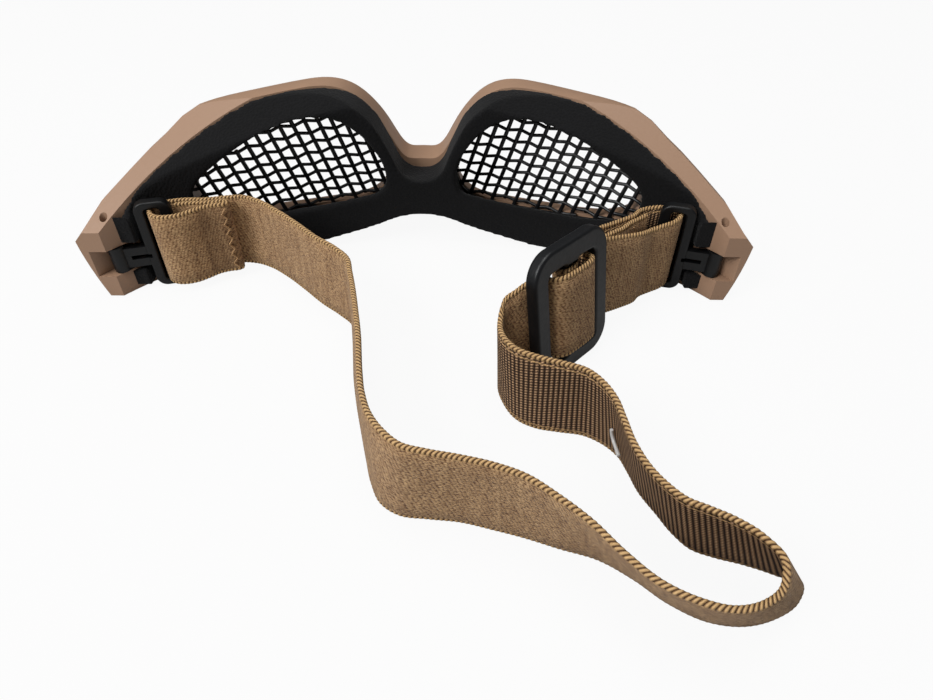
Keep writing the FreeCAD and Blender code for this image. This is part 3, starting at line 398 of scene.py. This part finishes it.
# %% The woven lenses
WRAP_CENTRE_Y, LENS_MIDDLE_RADIUS = -27.0, 91.95
LENS_NOSE_X, LENS_WIDTH, LENS_FLOOR_Z, LENS_HEIGHT = 9.8, 49.5, 7.4, 27.9
COLUMN_PITCH, ROW_PITCH, ROW_JOG, COLUMN_LEAN, ROW_FALL = 3.45, 2.85, 1.05, 0.33, 0.09
COLUMN_RADIUS, ROW_RADIUS = 0.60, 0.48
LENS_OUTLINE = (
    (0.0, 0.403), (0.025, 0.623), (0.085, 0.806), (0.166, 0.938), (0.287, 1.0), (0.428, 0.989),
    (0.610, 0.905), (0.780, 0.785), (0.930, 0.630), (1.0, 0.450), (0.985, 0.265), (0.885, 0.110),
    (0.700, 0.026), (0.475, 0.0), (0.250, 0.007), (0.097, 0.066), (0.021, 0.201),
)
WIRE_REACH, WIRE_OVERHANG, HALF_SHEET = 1.7, 0.45, 0.35
COLUMN_LIFT, ROW_LIFT = 0.12, -0.26


def inside_lens(along, up):
    """True if a place, in millimetres, lies inside the lens's rim."""
    ring = [(LENS_NOSE_X - WIRE_REACH + a * (LENS_WIDTH + 2 * WIRE_REACH),
             LENS_FLOOR_Z - WIRE_REACH + b * (LENS_HEIGHT + 2 * WIRE_REACH)) for a, b in LENS_OUTLINE]
    crossed = False
    for (x1, z1), (x2, z2) in zip(ring, ring[1:] + ring[:1]):
        if (z1 > up) != (z2 > up) and along < (x2 - x1) * (up - z1) / (z2 - z1) + x1:
            crossed = not crossed
    return crossed


def weave_place(side, column, row, step_out):
    """Where two wires cross: bent to the lens's curve and pushed in or out."""
    jog = ROW_JOG * (0.5 if (int(column) + int(row)) % 2 else -0.5)
    height = row * ROW_PITCH + jog - ROW_FALL * column * COLUMN_PITCH
    along = LENS_NOSE_X + column * COLUMN_PITCH + COLUMN_LEAN * height
    radius = LENS_MIDDLE_RADIUS + step_out
    angle = along / (LENS_MIDDLE_RADIUS + HALF_SHEET)
    across, up = radius * math.sin(angle), LENS_FLOOR_Z + height
    place = Vector((side * across, radius * math.cos(angle) + WRAP_CENTRE_Y, up))
    return place / 1000.0, inside_lens(across, up)


def add_wire(curve, places):
    """One more open line through places, on a curve that already has a round bevel."""
    line = curve.splines.new("POLY")
    line.points.add(len(places) - 1)
    for point, place in zip(line.points, places):
        point.co = (*place, 1.0)
    line.use_smooth = True


def wire_runs(side, columns, rows, upright):
    """The stretches of wire that lie within the rim, one family of wires at a time."""
    outer, inner = (columns, rows) if upright else (rows, columns)
    for first in outer:
        run = []
        for second in inner:
            column, row = (first, second) if upright else (second, first)
            over = 1 if (column + row) % 2 else -1
            place, inside = weave_place(side, column, row, over * (COLUMN_LIFT if upright else ROW_LIFT))
            if inside:
                run.append(place)
            if run and not inside:
                if len(run) > 1:
                    yield run
                run = []
        if len(run) > 1:
            yield run


def mesh_lens(side, name):
    """Both families of wires as one mesh, in the place of the plain sheet."""
    meshes = []
    columns, rows = range(-6, 19), range(-3, 15)
    for upright, radius in ((True, COLUMN_RADIUS), (False, ROW_RADIUS)):
        curve = bpy.data.curves.new(name + "_wires", "CURVE")
        curve.dimensions = "3D"
        curve.bevel_depth = radius / 1000.0
        curve.bevel_resolution = 2
        curve.use_fill_caps = True
        for run in wire_runs(side, columns, rows, upright):
            first = run[0] - (run[1] - run[0]) * WIRE_OVERHANG
            last = run[-1] + (run[-1] - run[-2]) * WIRE_OVERHANG
            add_wire(curve, [first] + run + [last])
        draft = new_piece(name + "_draft", curve)
        meshes.append(baked(draft))
        bpy.data.objects.remove(draft)
    woven = bmesh.new()
    for mesh in meshes:
        woven.from_mesh(mesh)
    result = bpy.data.meshes.new(name)
    woven.to_mesh(result)
    woven.free()
    result.polygons.foreach_set("use_smooth", [True] * len(result.polygons))
    item = new_piece(name, result)
    dress(item, wire_paint)
    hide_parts(("left" if side < 0 else "right") + "_mesh_lens")
    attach(item, "frame")
    return item


wire_paint = painted_wire()
for side, name in ((-1, "left_woven_lens"), (1, "right_woven_lens")):
    print(name, len(mesh_lens(side, name).data.polygons), "faces")

# %% [markdown]
# The strap is one knitted elastic band, 20 mm wide, from the sewn fold on the left bracket to the
# sewn end at the slider. It is described by a list of places for its lower and its upper edge, in
# the directions of whatever carries it there: the table, a bracket or the slider.

# %% The route of the strap, in millimetres
HINGE_X, HINGE_Y, BRACKET_YAW = 75.1, 27.5, 16.0
SLIDER_PLACE = Vector((34.5, 1.1, 16.05))
SLIDER_YAW, SLIDER_LEAN, SLIDER_DROP = 46.0, 9.2, 0.6
STRAP_WIDTH, STRAP_THICKNESS, LOOP_FLOOR, FALL_SHARE = 20.0, 1.5, 2.05, 0.6

LEFT_LOOP = (
    (16.3, 0.9), (18.0, 1.05), (20.0, 0.85), (22.8, 0.2), (25.2, 0.0), (27.8, 0.0),
    (28.38, -0.24), (28.63, -0.82), (28.38, -1.41), (27.8, -1.65), (25.2, -1.65), (22.8, -2.1),
    (20.0, -3.5), (17.3, -4.6), (14.6, -4.8), (12.2, -4.0), (10.9, -2.3), (10.6, 0.0),
    (11.1, 1.7), (12.5, 2.55), (14.8, 3.0), (17.5, 3.15), (20.3, 2.6), (23.0, 1.9), (26.0, 1.65),
    (29.6, 1.5),
)
LEFT_SPAN = (
    (-43.6, 36.9, -0.6, 0.9), (-40.0, 35.5, -0.4, 0.9), (-35.0, 31.8, -0.2, 0.6),
    (-29.0, 26.0, 0.2, 0.4), (-23.4, 20.2, 0.5, 0.2), (-18.4, 15.9, 0.6, 0.3),
    (-15.0, 12.2, 0.5, 0.1), (-14.2, 8.0, 0.8, 0.1), (-13.2, 1.2, 1.4, 0.2),
    (-12.2, -6.2, 1.9, 0.3), (-10.6, -14.1, 1.8, 0.3), (-8.5, -22.5, 0.9, 0.0),
    (-6.6, -29.8, 0.4, 0.0), (-5.2, -34.9, 0.7, 0.3),
)
FRONT_AND_RETURN = (
    (-3.1, -39.3, 1.2, 0.8), (0.4, -41.7, 0.8, 0.2), (5.6, -42.4, 0.1, -0.6),
    (11.3, -43.0, -0.4, -1.1), (17.4, -44.6, -0.7, -1.1), (23.2, -46.3, -1.5, -1.6),
    (28.9, -48.3, -2.8, -3.0), (35.4, -50.4, -4.6, -5.0), (41.1, -54.1, -6.0, -6.3),
    (46.0, -58.3, -6.6, -6.4), (51.4, -61.2, -7.2, -6.1), (56.8, -61.9, -8.0, -6.3),
    (62.2, -60.7, -8.7, -6.4), (66.8, -58.1, -9.6, -6.1), (68.6, -55.0, -10.0, -5.1),
    (64.8, -52.9, -8.5, -4.2), (60.1, -51.1, -7.3, -3.5), (55.6, -49.8, -6.4, -3.1),
    (52.0, -48.2, -6.0, -3.1), (49.8, -45.4, -5.9, -3.5),
)
RIGHT_SPAN = (
    (47.8, -41.3, -6.0, -3.9), (45.5, -36.5, -5.4, -3.5), (44.3, -31.8, -4.9, -3.0),
    (43.0, -27.8, -4.3, -2.4), (40.4, -24.6, -3.3, -1.8), (36.8, -22.3, -2.1, -1.2),
    (31.6, -21.3, -1.0, -0.4), (27.0, -20.3, -0.8, 0.2), (23.2, -17.9, -1.4, 0.3),
    (20.9, -13.6, -1.6, 0.2), (20.0, -8.4, -0.8, 0.0),
)
SLIDER_ENTRY = ((-15.6, 4.4, 0.5), (-13.0, 3.4, 0.2), (-10.8, 2.75, 0.0))
SLIDER_WEAVE = (
    (-8.8, 2.5, 0.0), (-7.5, 2.1, 0.0), (-6.6, 0.9, 0.0), (-5.9, -0.5, 0.0), (-4.9, -1.7, 0.0),
    (-3.3, -2.3, 0.0), (-1.6, -2.45, 0.0), (0.2, -2.5, 0.0), (2.1, -2.5, 0.0), (4.0, -2.4, 0.0),
    (5.6, -2.05, 0.0), (6.6, -1.25, 0.0), (6.95, -0.2, 0.0), (7.1, 0.9, 0.0), (7.6, 1.95, 0.0),
    (8.8, 2.5, 0.0), (10.8, 2.55, 0.0),
)
SLIDER_EXIT = ((13.5, 2.1, 0.05), (17.0, 1.0, 0.2), (21.5, -0.1, 0.45), (26.0, -0.9, 0.7))
RIGHT_LOOP = (
    (16.8, -9.6), (14.2, -6.8), (11.9, -4.3), (10.8, -1.9), (10.6, 0.3), (11.2, 1.9), (12.6, 2.6),
    (14.5, 2.45), (16.5, 1.7), (20.2, -0.9),
)
SLIDER_RETURN = (
    (32.5, 5.7, 0.8), (28.5, 6.2, 0.7), (24.7, 6.7, 0.6), (20.5, 6.9, 0.4), (16.5, 6.75, 0.3),
    (12.8, 6.3, 0.1), (9.8, 6.0, 0.0), (7.0, 5.7, 0.0), (4.6, 4.95, 0.0), (2.4, 3.65, 0.0),
    (0.5, 2.6, 0.0), (-1.0, 2.35, 0.0), (-2.2, 1.75, 0.0), (-2.55, 0.7, 0.0), (-2.15, -0.3, 0.0),
    (-1.1, -0.72, 0.0), (0.0, -0.78, 0.0), (1.2, -0.7, 0.0), (2.35, -0.1, 0.0), (2.75, 0.9, 0.0),
    (3.3, 2.0, 0.0), (4.7, 3.05, 0.0), (7.0, 3.8, 0.0), (9.8, 4.25, 0.0), (12.8, 4.15, 0.1),
    (16.5, 3.5, 0.3), (20.5, 3.2, 0.4), (24.7, 3.4, 0.6), (28.5, 3.95, 0.7), (32.5, 3.85, 0.8),
    (34.6, 3.6, 0.8),
)
ENTRY_START, WRAP_START = 9, 3


def on_table(row, floor=0.0):
    """The strap's lower and upper edge where it stands on the table, from a place and its lean."""
    x, y, lean_x, lean_y = row
    rise = math.sqrt(STRAP_WIDTH ** 2 - lean_x ** 2 - lean_y ** 2)
    return Vector((x, y, floor)), Vector((x + lean_x, y + lean_y, floor + rise))


def on_bracket(side, along, across):
    """The same two edges, from distances along and across a bracket from its hinge."""
    yaw = BRACKET_YAW if side < 0 else 180 - BRACKET_YAW
    turn = Matrix.Rotation(math.radians(yaw), 3, "Z")
    low = Vector((side * HINGE_X, HINGE_Y, 0.0)) + turn @ Vector((along, -side * across, LOOP_FLOOR))
    return low, low + Vector((0.0, 0.0, STRAP_WIDTH))


def on_slider(along, across, upright):
    """The same two edges on the leaning slider, stood upright again by a share."""
    lean = Matrix.Rotation(math.radians(-SLIDER_LEAN), 3, "X")
    turn = Matrix.Rotation(math.radians(SLIDER_YAW), 3, "Z") @ lean
    low = SLIDER_PLACE + turn @ Vector((along, across, -SLIDER_DROP - STRAP_WIDTH / 2))
    high = SLIDER_PLACE + turn @ Vector((along, across, -SLIDER_DROP + STRAP_WIDTH / 2))
    foot = Vector(((low.x + high.x) / 2, (low.y + high.y) / 2, LOOP_FLOOR))
    return low.lerp(foot, upright), high.lerp(foot + Vector((0.0, 0.0, STRAP_WIDTH)), upright)


fall = FALL_SHARE * len(LEFT_SPAN)
floors = [LOOP_FLOOR * max(0.0, 1 - (index + 1) / fall) for index in range(len(LEFT_SPAN))]
stretches = (
    ("left_loop", [on_bracket(-1, *row) for row in LEFT_LOOP]),
    ("left_span", [on_table(row, floor) for row, floor in zip(LEFT_SPAN, floors)]),
    ("front", [on_table(row) for row in FRONT_AND_RETURN]),
    ("right_span", [on_table(row) for row in RIGHT_SPAN[:ENTRY_START]]),
    ("slider_entry",
     [on_table(row) for row in RIGHT_SPAN[ENTRY_START:]] + [on_slider(*row) for row in SLIDER_ENTRY]),
    ("slider_weave", [on_slider(*row) for row in SLIDER_WEAVE]),
    ("slider_exit", [on_slider(*row) for row in SLIDER_EXIT]),
    ("right_loop", [on_bracket(1, *row) for row in RIGHT_LOOP]),
    ("slider_return", [on_slider(*row) for row in SLIDER_RETURN[:WRAP_START]]),
    ("slider_wrap", [on_slider(*row) for row in SLIDER_RETURN[WRAP_START:]]),
)
stations, last_station = [], {}
for name, places in stretches:
    stations += places
    last_station[name] = len(stations) - 1
lows = np.array([low for low, high in stations])
highs = np.array([high for low, high in stations])
steps = np.linalg.norm((lows[1:] + highs[1:] - lows[:-1] - highs[:-1]) / 2, axis=1)
marks = np.concatenate(([0.0], np.cumsum(steps)))
print("the strap is", round(marks[-1], 1), "mm long")

# %% [markdown]
# Between those places the band follows smooth curves. Its cross-section is nearly flat, with a
# rolled edge where thread is wrapped round it. The wraps are real bumps in the mesh, about one to
# the millimetre. Each stretch is a grid whose points are carried onto the band, row by row, and
# keeps where it lies on the band, in millimetres, as a UV map for the knit.

# %% The band's surface
BEAD_PITCH, BEAD_SLANT, EDGE_RADIUS = 0.9, 0.8, 0.56
RINGS_PER_BEAD, BEAD_LEAST, BEAD_SWELL = 5, 0.84, 0.22
FACE_COLUMNS = (-8.9, -6.2, -4.1, -2.0, 0.0, 2.0, 4.1, 6.2, 8.9)
FACE_SINK, TABLE_GAP = 0.16, 0.05
EDGE_POINTS, EDGE_START, EDGE_TURN = 9, 128, 32


def slopes_of(places):
    """The direction of a smooth curve at each of its places, by the lengths between them."""
    slope = np.empty_like(places)
    before, after = steps[:-1, None], steps[1:, None]
    rate = (places[1:] - places[:-1]) / steps[:, None]
    slope[1:-1] = (rate[:-1] * after + rate[1:] * before) / (before + after)
    slope[0], slope[-1] = rate[0], rate[-1]
    return slope


low_slopes, high_slopes = slopes_of(lows), slopes_of(highs)


def along_curve(places, slope, distance):
    """A place on the smooth curve, and its direction there."""
    index = int(np.clip(np.searchsorted(marks, distance) - 1, 0, len(steps) - 1))
    gap = steps[index]
    t = (distance - marks[index]) / gap
    a, b, c, d = places[index], places[index + 1], slope[index] * gap, slope[index + 1] * gap
    place = (a * (2 * t**3 - 3 * t**2 + 1) + c * (t**3 - 2 * t**2 + t)
             + b * (3 * t**2 - 2 * t**3) + d * (t**3 - t**2))
    heading = (a * (6 * t**2 - 6 * t) + c * (3 * t**2 - 4 * t + 1)
               + b * (6 * t - 6 * t**2) + d * (3 * t**2 - 2 * t))
    return place, heading


def cross_section():
    """Points round the band: across it, off its middle, and how far each belongs to the edge."""
    half, flat = STRAP_WIDTH / 2, STRAP_THICKNESS / 2 - FACE_SINK
    outer = [(across, flat, 0.0) for across in FACE_COLUMNS]
    edge = []
    for step in range(EDGE_POINTS):
        angle = math.radians(EDGE_START - step * EDGE_TURN)
        across = half - EDGE_RADIUS + EDGE_RADIUS * math.cos(angle)
        edge.append((across, EDGE_RADIUS * math.sin(angle), 1.0))
    ring = outer + edge
    ring += [(-across, -off, share) for across, off, share in ring]
    return ring


SECTION = cross_section()


def band_point(distance, across, off, share):
    """A point of the band's surface in metres."""
    low, low_way = along_curve(lows, low_slopes, distance)
    high, high_way = along_curve(highs, high_slopes, distance)
    up = (high - low) / np.linalg.norm(high - low)
    side = np.cross(low_way + high_way, high - low)
    side = side / np.linalg.norm(side)
    if share:
        phase = (distance + BEAD_SLANT * off) / BEAD_PITCH
        swell = BEAD_LEAST + BEAD_SWELL * abs(math.sin(math.pi * phase))
        centre = math.copysign(STRAP_WIDTH / 2 - EDGE_RADIUS, across)
        across, off = centre + (across - centre) * swell, off * swell
    middle = (low + high) / 2
    place = middle + up * across + side * off
    place[2] = max(place[2], TABLE_GAP)
    return Vector(place) / 1000.0


def band_piece(name, start, end, material_slots):
    """A closed stretch of the band between two distances along it."""
    rings = max(2, int((end - start) / BEAD_PITCH * RINGS_PER_BEAD))
    count = len(SECTION)
    shape = bmesh.new()
    bmesh.ops.create_grid(shape, x_segments=rings, y_segments=count, size=1.0)
    uv = shape.loops.layers.uv.new("band")
    spots = {}
    for vert in shape.verts:
        ring = round((vert.co.x + 1) / 2 * rings)
        step = round((vert.co.y + 1) / 2 * count)
        spots[vert] = (ring, step)
    for face in shape.faces:
        shares = [SECTION[spots[vert][1] % count] for vert in face.verts]
        face.smooth = True
        if all(share for across, off, share in shares):
            face.material_index = 2
        elif sum(off for across, off, share in shares) > 0:
            face.material_index = 0
        else:
            face.material_index = 1
        for loop in face.loops:
            ring, step = spots[loop.vert]
            across, off, share = SECTION[step % count]
            slant = BEAD_SLANT * off if face.material_index == 2 else 0.0
            loop[uv].uv = (start + (end - start) * ring / rings + slant, across)
    for vert, (ring, step) in spots.items():
        across, off, share = SECTION[step % count]
        vert.co = band_point(start + (end - start) * ring / rings, across, off, share)
    bmesh.ops.remove_doubles(shape, verts=shape.verts, dist=1e-8)
    rims = [edge for edge in shape.edges if edge.is_boundary]
    for edge in rims:
        edge.smooth = False
    bmesh.ops.holes_fill(shape, edges=rims, sides=0)
    bmesh.ops.recalc_face_normals(shape, faces=shape.faces)
    mesh = bpy.data.meshes.new(name)
    shape.to_mesh(mesh)
    shape.free()
    item = new_piece(name, mesh)
    for material in material_slots:
        mesh.materials.append(material)
    return item


# %% [markdown]
# The outer face of the elastic is a smooth knit: short slanted dashes of two browns. The inner
# face shows the ribs of the rubber, with a bright dot of yarn at each crossing and a golden chain
# of thread near each edge. All of it is arithmetic on the band's own millimetres, so it stays put
# when the strap bends.

# %% The knit
def band_place(tree):
    """Where a point lies along and across the band, in millimetres."""
    place = add_node(tree, "ShaderNodeUVMap", uv_map="band")
    parts = add_node(tree, "ShaderNodeSeparateXYZ")
    tree.links.new(place.outputs[0], parts.inputs[0])
    return parts.outputs[0], parts.outputs[1]


def joined_place(tree, x, y):
    both = add_node(tree, "ShaderNodeCombineXYZ")
    tree.links.new(x, both.inputs[0])
    tree.links.new(y, both.inputs[1])
    return both.outputs[0]


def sine(tree, value, pitch, shift=0.0):
    """A wave from 0 to 1 along a value in millimetres."""
    turned = math_node(tree, "MULTIPLY_ADD", value, 2 * math.pi / pitch, shift)
    return math_node(tree, "MULTIPLY_ADD", math_node(tree, "SINE", turned), 0.5, 0.5)


def outer_knit(name, shaded_from=0.0, shaded_to=0.0):
    """Slanted dashes of two browns, with painted shade over a stretch where the strap lies doubled."""
    material, tree, shader = new_material(name)
    along, across = band_place(tree)
    slanted = math_node(tree, "MULTIPLY_ADD", across, 0.4, along)
    cells = add_node(tree, "ShaderNodeTexVoronoi", voronoi_dimensions="2D", feature="F1")
    cells.inputs["Scale"].default_value = 1.3
    cells.inputs["Randomness"].default_value = 0.5
    loops = joined_place(tree, slanted, math_node(tree, "MULTIPLY", across, 2.5))
    tree.links.new(loops, cells.inputs["Vector"])
    edges = math_node(tree, "MULTIPLY_ADD", cells.outputs["Distance"], 2.3, -0.62, clamp=True)
    longer, lower = math_node(tree, "MULTIPLY", slanted, 1.1), math_node(tree, "MULTIPLY", across, 3.2)
    specks = noise(tree, 1.0, 1.0, 0.5, joined_place(tree, longer, lower))
    dashes = math_node(tree, "MULTIPLY_ADD", specks, 7.0, -4.1, clamp=True)
    gap = math_node(tree, "MAXIMUM", edges, dashes)
    tint = add_node(tree, "ShaderNodeSeparateColor")
    tree.links.new(cells.outputs["Color"], tint.inputs[0])
    streaked = joined_place(tree, along, math_node(tree, "MULTIPLY", across, 0.15))
    yarns = noise(tree, 0.7, 3.0, 0.6, streaked)
    streaks = math_node(tree, "MULTIPLY_ADD", yarns, 1.5, -0.5)
    bands = math_node(tree, "MULTIPLY_ADD", tint.outputs[0], 0.4, streaks, clamp=True)
    light = blend_colours(tree, bands, linear(156, 120, 83), linear(212, 175, 129))
    dark = blend_colours(tree, bands, linear(84, 54, 34), linear(116, 82, 55))
    colour = blend_colours(tree, gap, light, dark)
    # Painted shade: over the doubled stretch the knit is blended towards dark brown, as the shade
    # between the loop's two plies.
    if shaded_to:
        begun = math_node(tree, "MULTIPLY_ADD", along, 1.5, -1.5 * shaded_from, clamp=True)
        left = math_node(tree, "MULTIPLY_ADD", along, -1.5, 1.5 * shaded_to, clamp=True)
        inside = math_node(tree, "MULTIPLY", math_node(tree, "MULTIPLY", begun, left), 0.30)
        colour = blend_colours(tree, inside, colour, linear(60, 36, 20))
    tree.links.new(colour, shader.inputs["Base Color"])
    shader.inputs["Roughness"].default_value = 0.85
    shader.inputs["Specular IOR Level"].default_value = 0.2
    shader.inputs["Sheen Weight"].default_value = 0.1
    add_bump(tree, shader, math_node(tree, "SUBTRACT", 1.0, gap), 0.00012)
    return material


def inner_ribs():
    """Dark rubber ribs across the band, with dots of yarn and a chain of thread near each edge."""
    material, tree, shader = new_material("webbing_inner")
    along, across = band_place(tree)
    rib = sine(tree, along, 0.98)
    dots = sine(tree, math_node(tree, "MULTIPLY_ADD", along, 0.3, across), 0.71)
    crest, dotted = math_node(tree, "POWER", rib, 1.1), math_node(tree, "MULTIPLY_ADD", dots, 0.88, 0.12)
    bright = math_node(tree, "MULTIPLY", crest, dotted)
    waver = noise(tree, 1.4, 2.0, 0.5, joined_place(tree, along, across))
    wear = math_node(tree, "MULTIPLY_ADD", waver, 0.7, 0.75)
    share = math_node(tree, "MULTIPLY", bright, wear, clamp=True)
    ground = blend_colours(tree, share, linear(36, 22, 15), linear(214, 172, 132))
    from_chain = math_node(tree, "SUBTRACT", math_node(tree, "ABSOLUTE", across), 8.55)
    aside = math_node(tree, "ABSOLUTE", from_chain)
    chain = math_node(tree, "MULTIPLY_ADD", aside, -5.0, 1.4, clamp=True)
    stitches = math_node(tree, "MULTIPLY_ADD", sine(tree, along, 1.1), 0.6, 0.4)
    links = math_node(tree, "MULTIPLY", chain, stitches)
    colour = blend_colours(tree, links, ground, linear(206, 166, 116))
    tree.links.new(colour, shader.inputs["Base Color"])
    shader.inputs["Roughness"].default_value = 0.85
    shader.inputs["Specular IOR Level"].default_value = 0.2
    add_bump(tree, shader, bright, 0.0003)
    return material


def wrapped_edge():
    """Golden thread wrapped round the edge, with painted shade where two wraps meet."""
    material, tree, shader = new_material("webbing_edge")
    along, across = band_place(tree)
    turned = math_node(tree, "MULTIPLY", along, math.pi / BEAD_PITCH)
    bead = math_node(tree, "ABSOLUTE", math_node(tree, "SINE", turned))
    share = math_node(tree, "MULTIPLY_ADD", bead, 1.5, -0.3, clamp=True)
    waver = noise(tree, 2.5, 2.0, 0.5, joined_place(tree, along, across))
    yarn = blend_colours(tree, waver, linear(158, 122, 80), linear(218, 182, 130))
    # Painted shade: the crease where two wraps meet is blended towards dark brown.
    colour = blend_colours(tree, share, linear(84, 57, 36), yarn)
    tree.links.new(colour, shader.inputs["Base Color"])
    shader.inputs["Roughness"].default_value = 0.7
    shader.inputs["Specular IOR Level"].default_value = 0.3
    add_bump(tree, shader, bead, 0.0002)
    return material


# The stretch of the left loop that gets painted shade, in millimetres along the band.
DOUBLED_SHADE_START, DOUBLED_SHADE_END = 13.0, 21.5
webbing = (outer_knit("webbing_outer"), inner_ribs(), wrapped_edge())
shaded_doubled_knit = outer_knit("webbing_doubled_shade", DOUBLED_SHADE_START, DOUBLED_SHADE_END)
print("finishes for the strap")

# %% [markdown]
# Each stretch that one body carries is attached to it. A stretch that crosses a hinge or the
# slider's travel is attached to neither, and keeps its place in the scene.

# %% The strap's pieces
RIDES = (
    ("left_loop", "strap_left_loop", "left_bracket", None),
    ("left_span", "strap_left_span", "left_bracket", "frame"),
    ("front", "strap_main", "frame", None),
    ("right_span", "strap_right_span", "frame", "right_bracket"),
    ("slider_entry", "strap_right_span", "right_bracket", "slider"),
    ("slider_weave", "strap_slider_weave", "slider", None),
    ("slider_exit", "strap_right_loop", "slider", "right_bracket"),
    ("right_loop", "strap_right_loop", "right_bracket", None),
    ("slider_return", "strap_slider_wrap", "right_bracket", "slider"),
    ("slider_wrap", "strap_slider_wrap", "slider", None),
)
began = 0.0
for name, node, first_body, second_body in RIDES:
    ended = float(marks[last_station[name]])
    faces = (shaded_doubled_knit, shaded_doubled_knit, webbing[2]) if name == "left_loop" else webbing
    piece = band_piece("strap_" + name + "_band", began, ended, faces)
    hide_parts(node)
    if second_body:
        band_point(began, 0.0, 0.0, 0.0)
        band_point(ended, 0.0, 0.0, 0.0)
        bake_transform(piece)
    else:
        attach(piece, first_body)
    print(piece.name, len(piece.data.polygons), "faces")
    began = ended

# %% [markdown]
# The cut end of a clear nylon tag fastener was left on the strap. It lies against the ribbed face
# of the right stretch. It is a round thread through places on the band.

# %% The tag fastener
TAG_RADIUS, TAG_STATION = 0.35, last_station["front"] + 4
TAG_ROUTE = ((0.0, 0.4, 1.25), (0.0, -1.4, 1.25), (1 / 3, -2.2, 1.5), (1.0, -2.4, 1.75))


def tag_fastener():
    """The thread: how far back each place lies along the band, across it and off its middle."""
    last_step = marks[TAG_STATION] - marks[TAG_STATION - 1]
    curve = bpy.data.curves.new("tag_thread", "CURVE")
    curve.dimensions = "3D"
    curve.bevel_depth = TAG_RADIUS / 1000.0
    curve.use_fill_caps = True
    add_wire(curve, [band_point(marks[TAG_STATION] - back * last_step, across, -off, 0.0)
                     for back, across, off in TAG_ROUTE])
    draft = new_piece("tag_draft", curve)
    item = new_piece("tag_thread", baked(draft))
    bpy.data.objects.remove(draft)
    item.data.polygons.foreach_set("use_smooth", [True] * len(item.data.polygons))
    dress(item, clear_nylon())
    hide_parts("tag_fastener")
    ends = [float(marks[last_station[name]]) for name in ("front", "right_span")]
    [band_point(distance, 0.0, 0.0, 0.0) for distance in ends]
    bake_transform(item)
    return item


tag = tag_fastener()
print("tag", len(tag.data.polygons), "faces, from", [round(value, 4) for value in tag.bound_box[0]],
      "to", [round(value, 4) for value in tag.bound_box[6]])
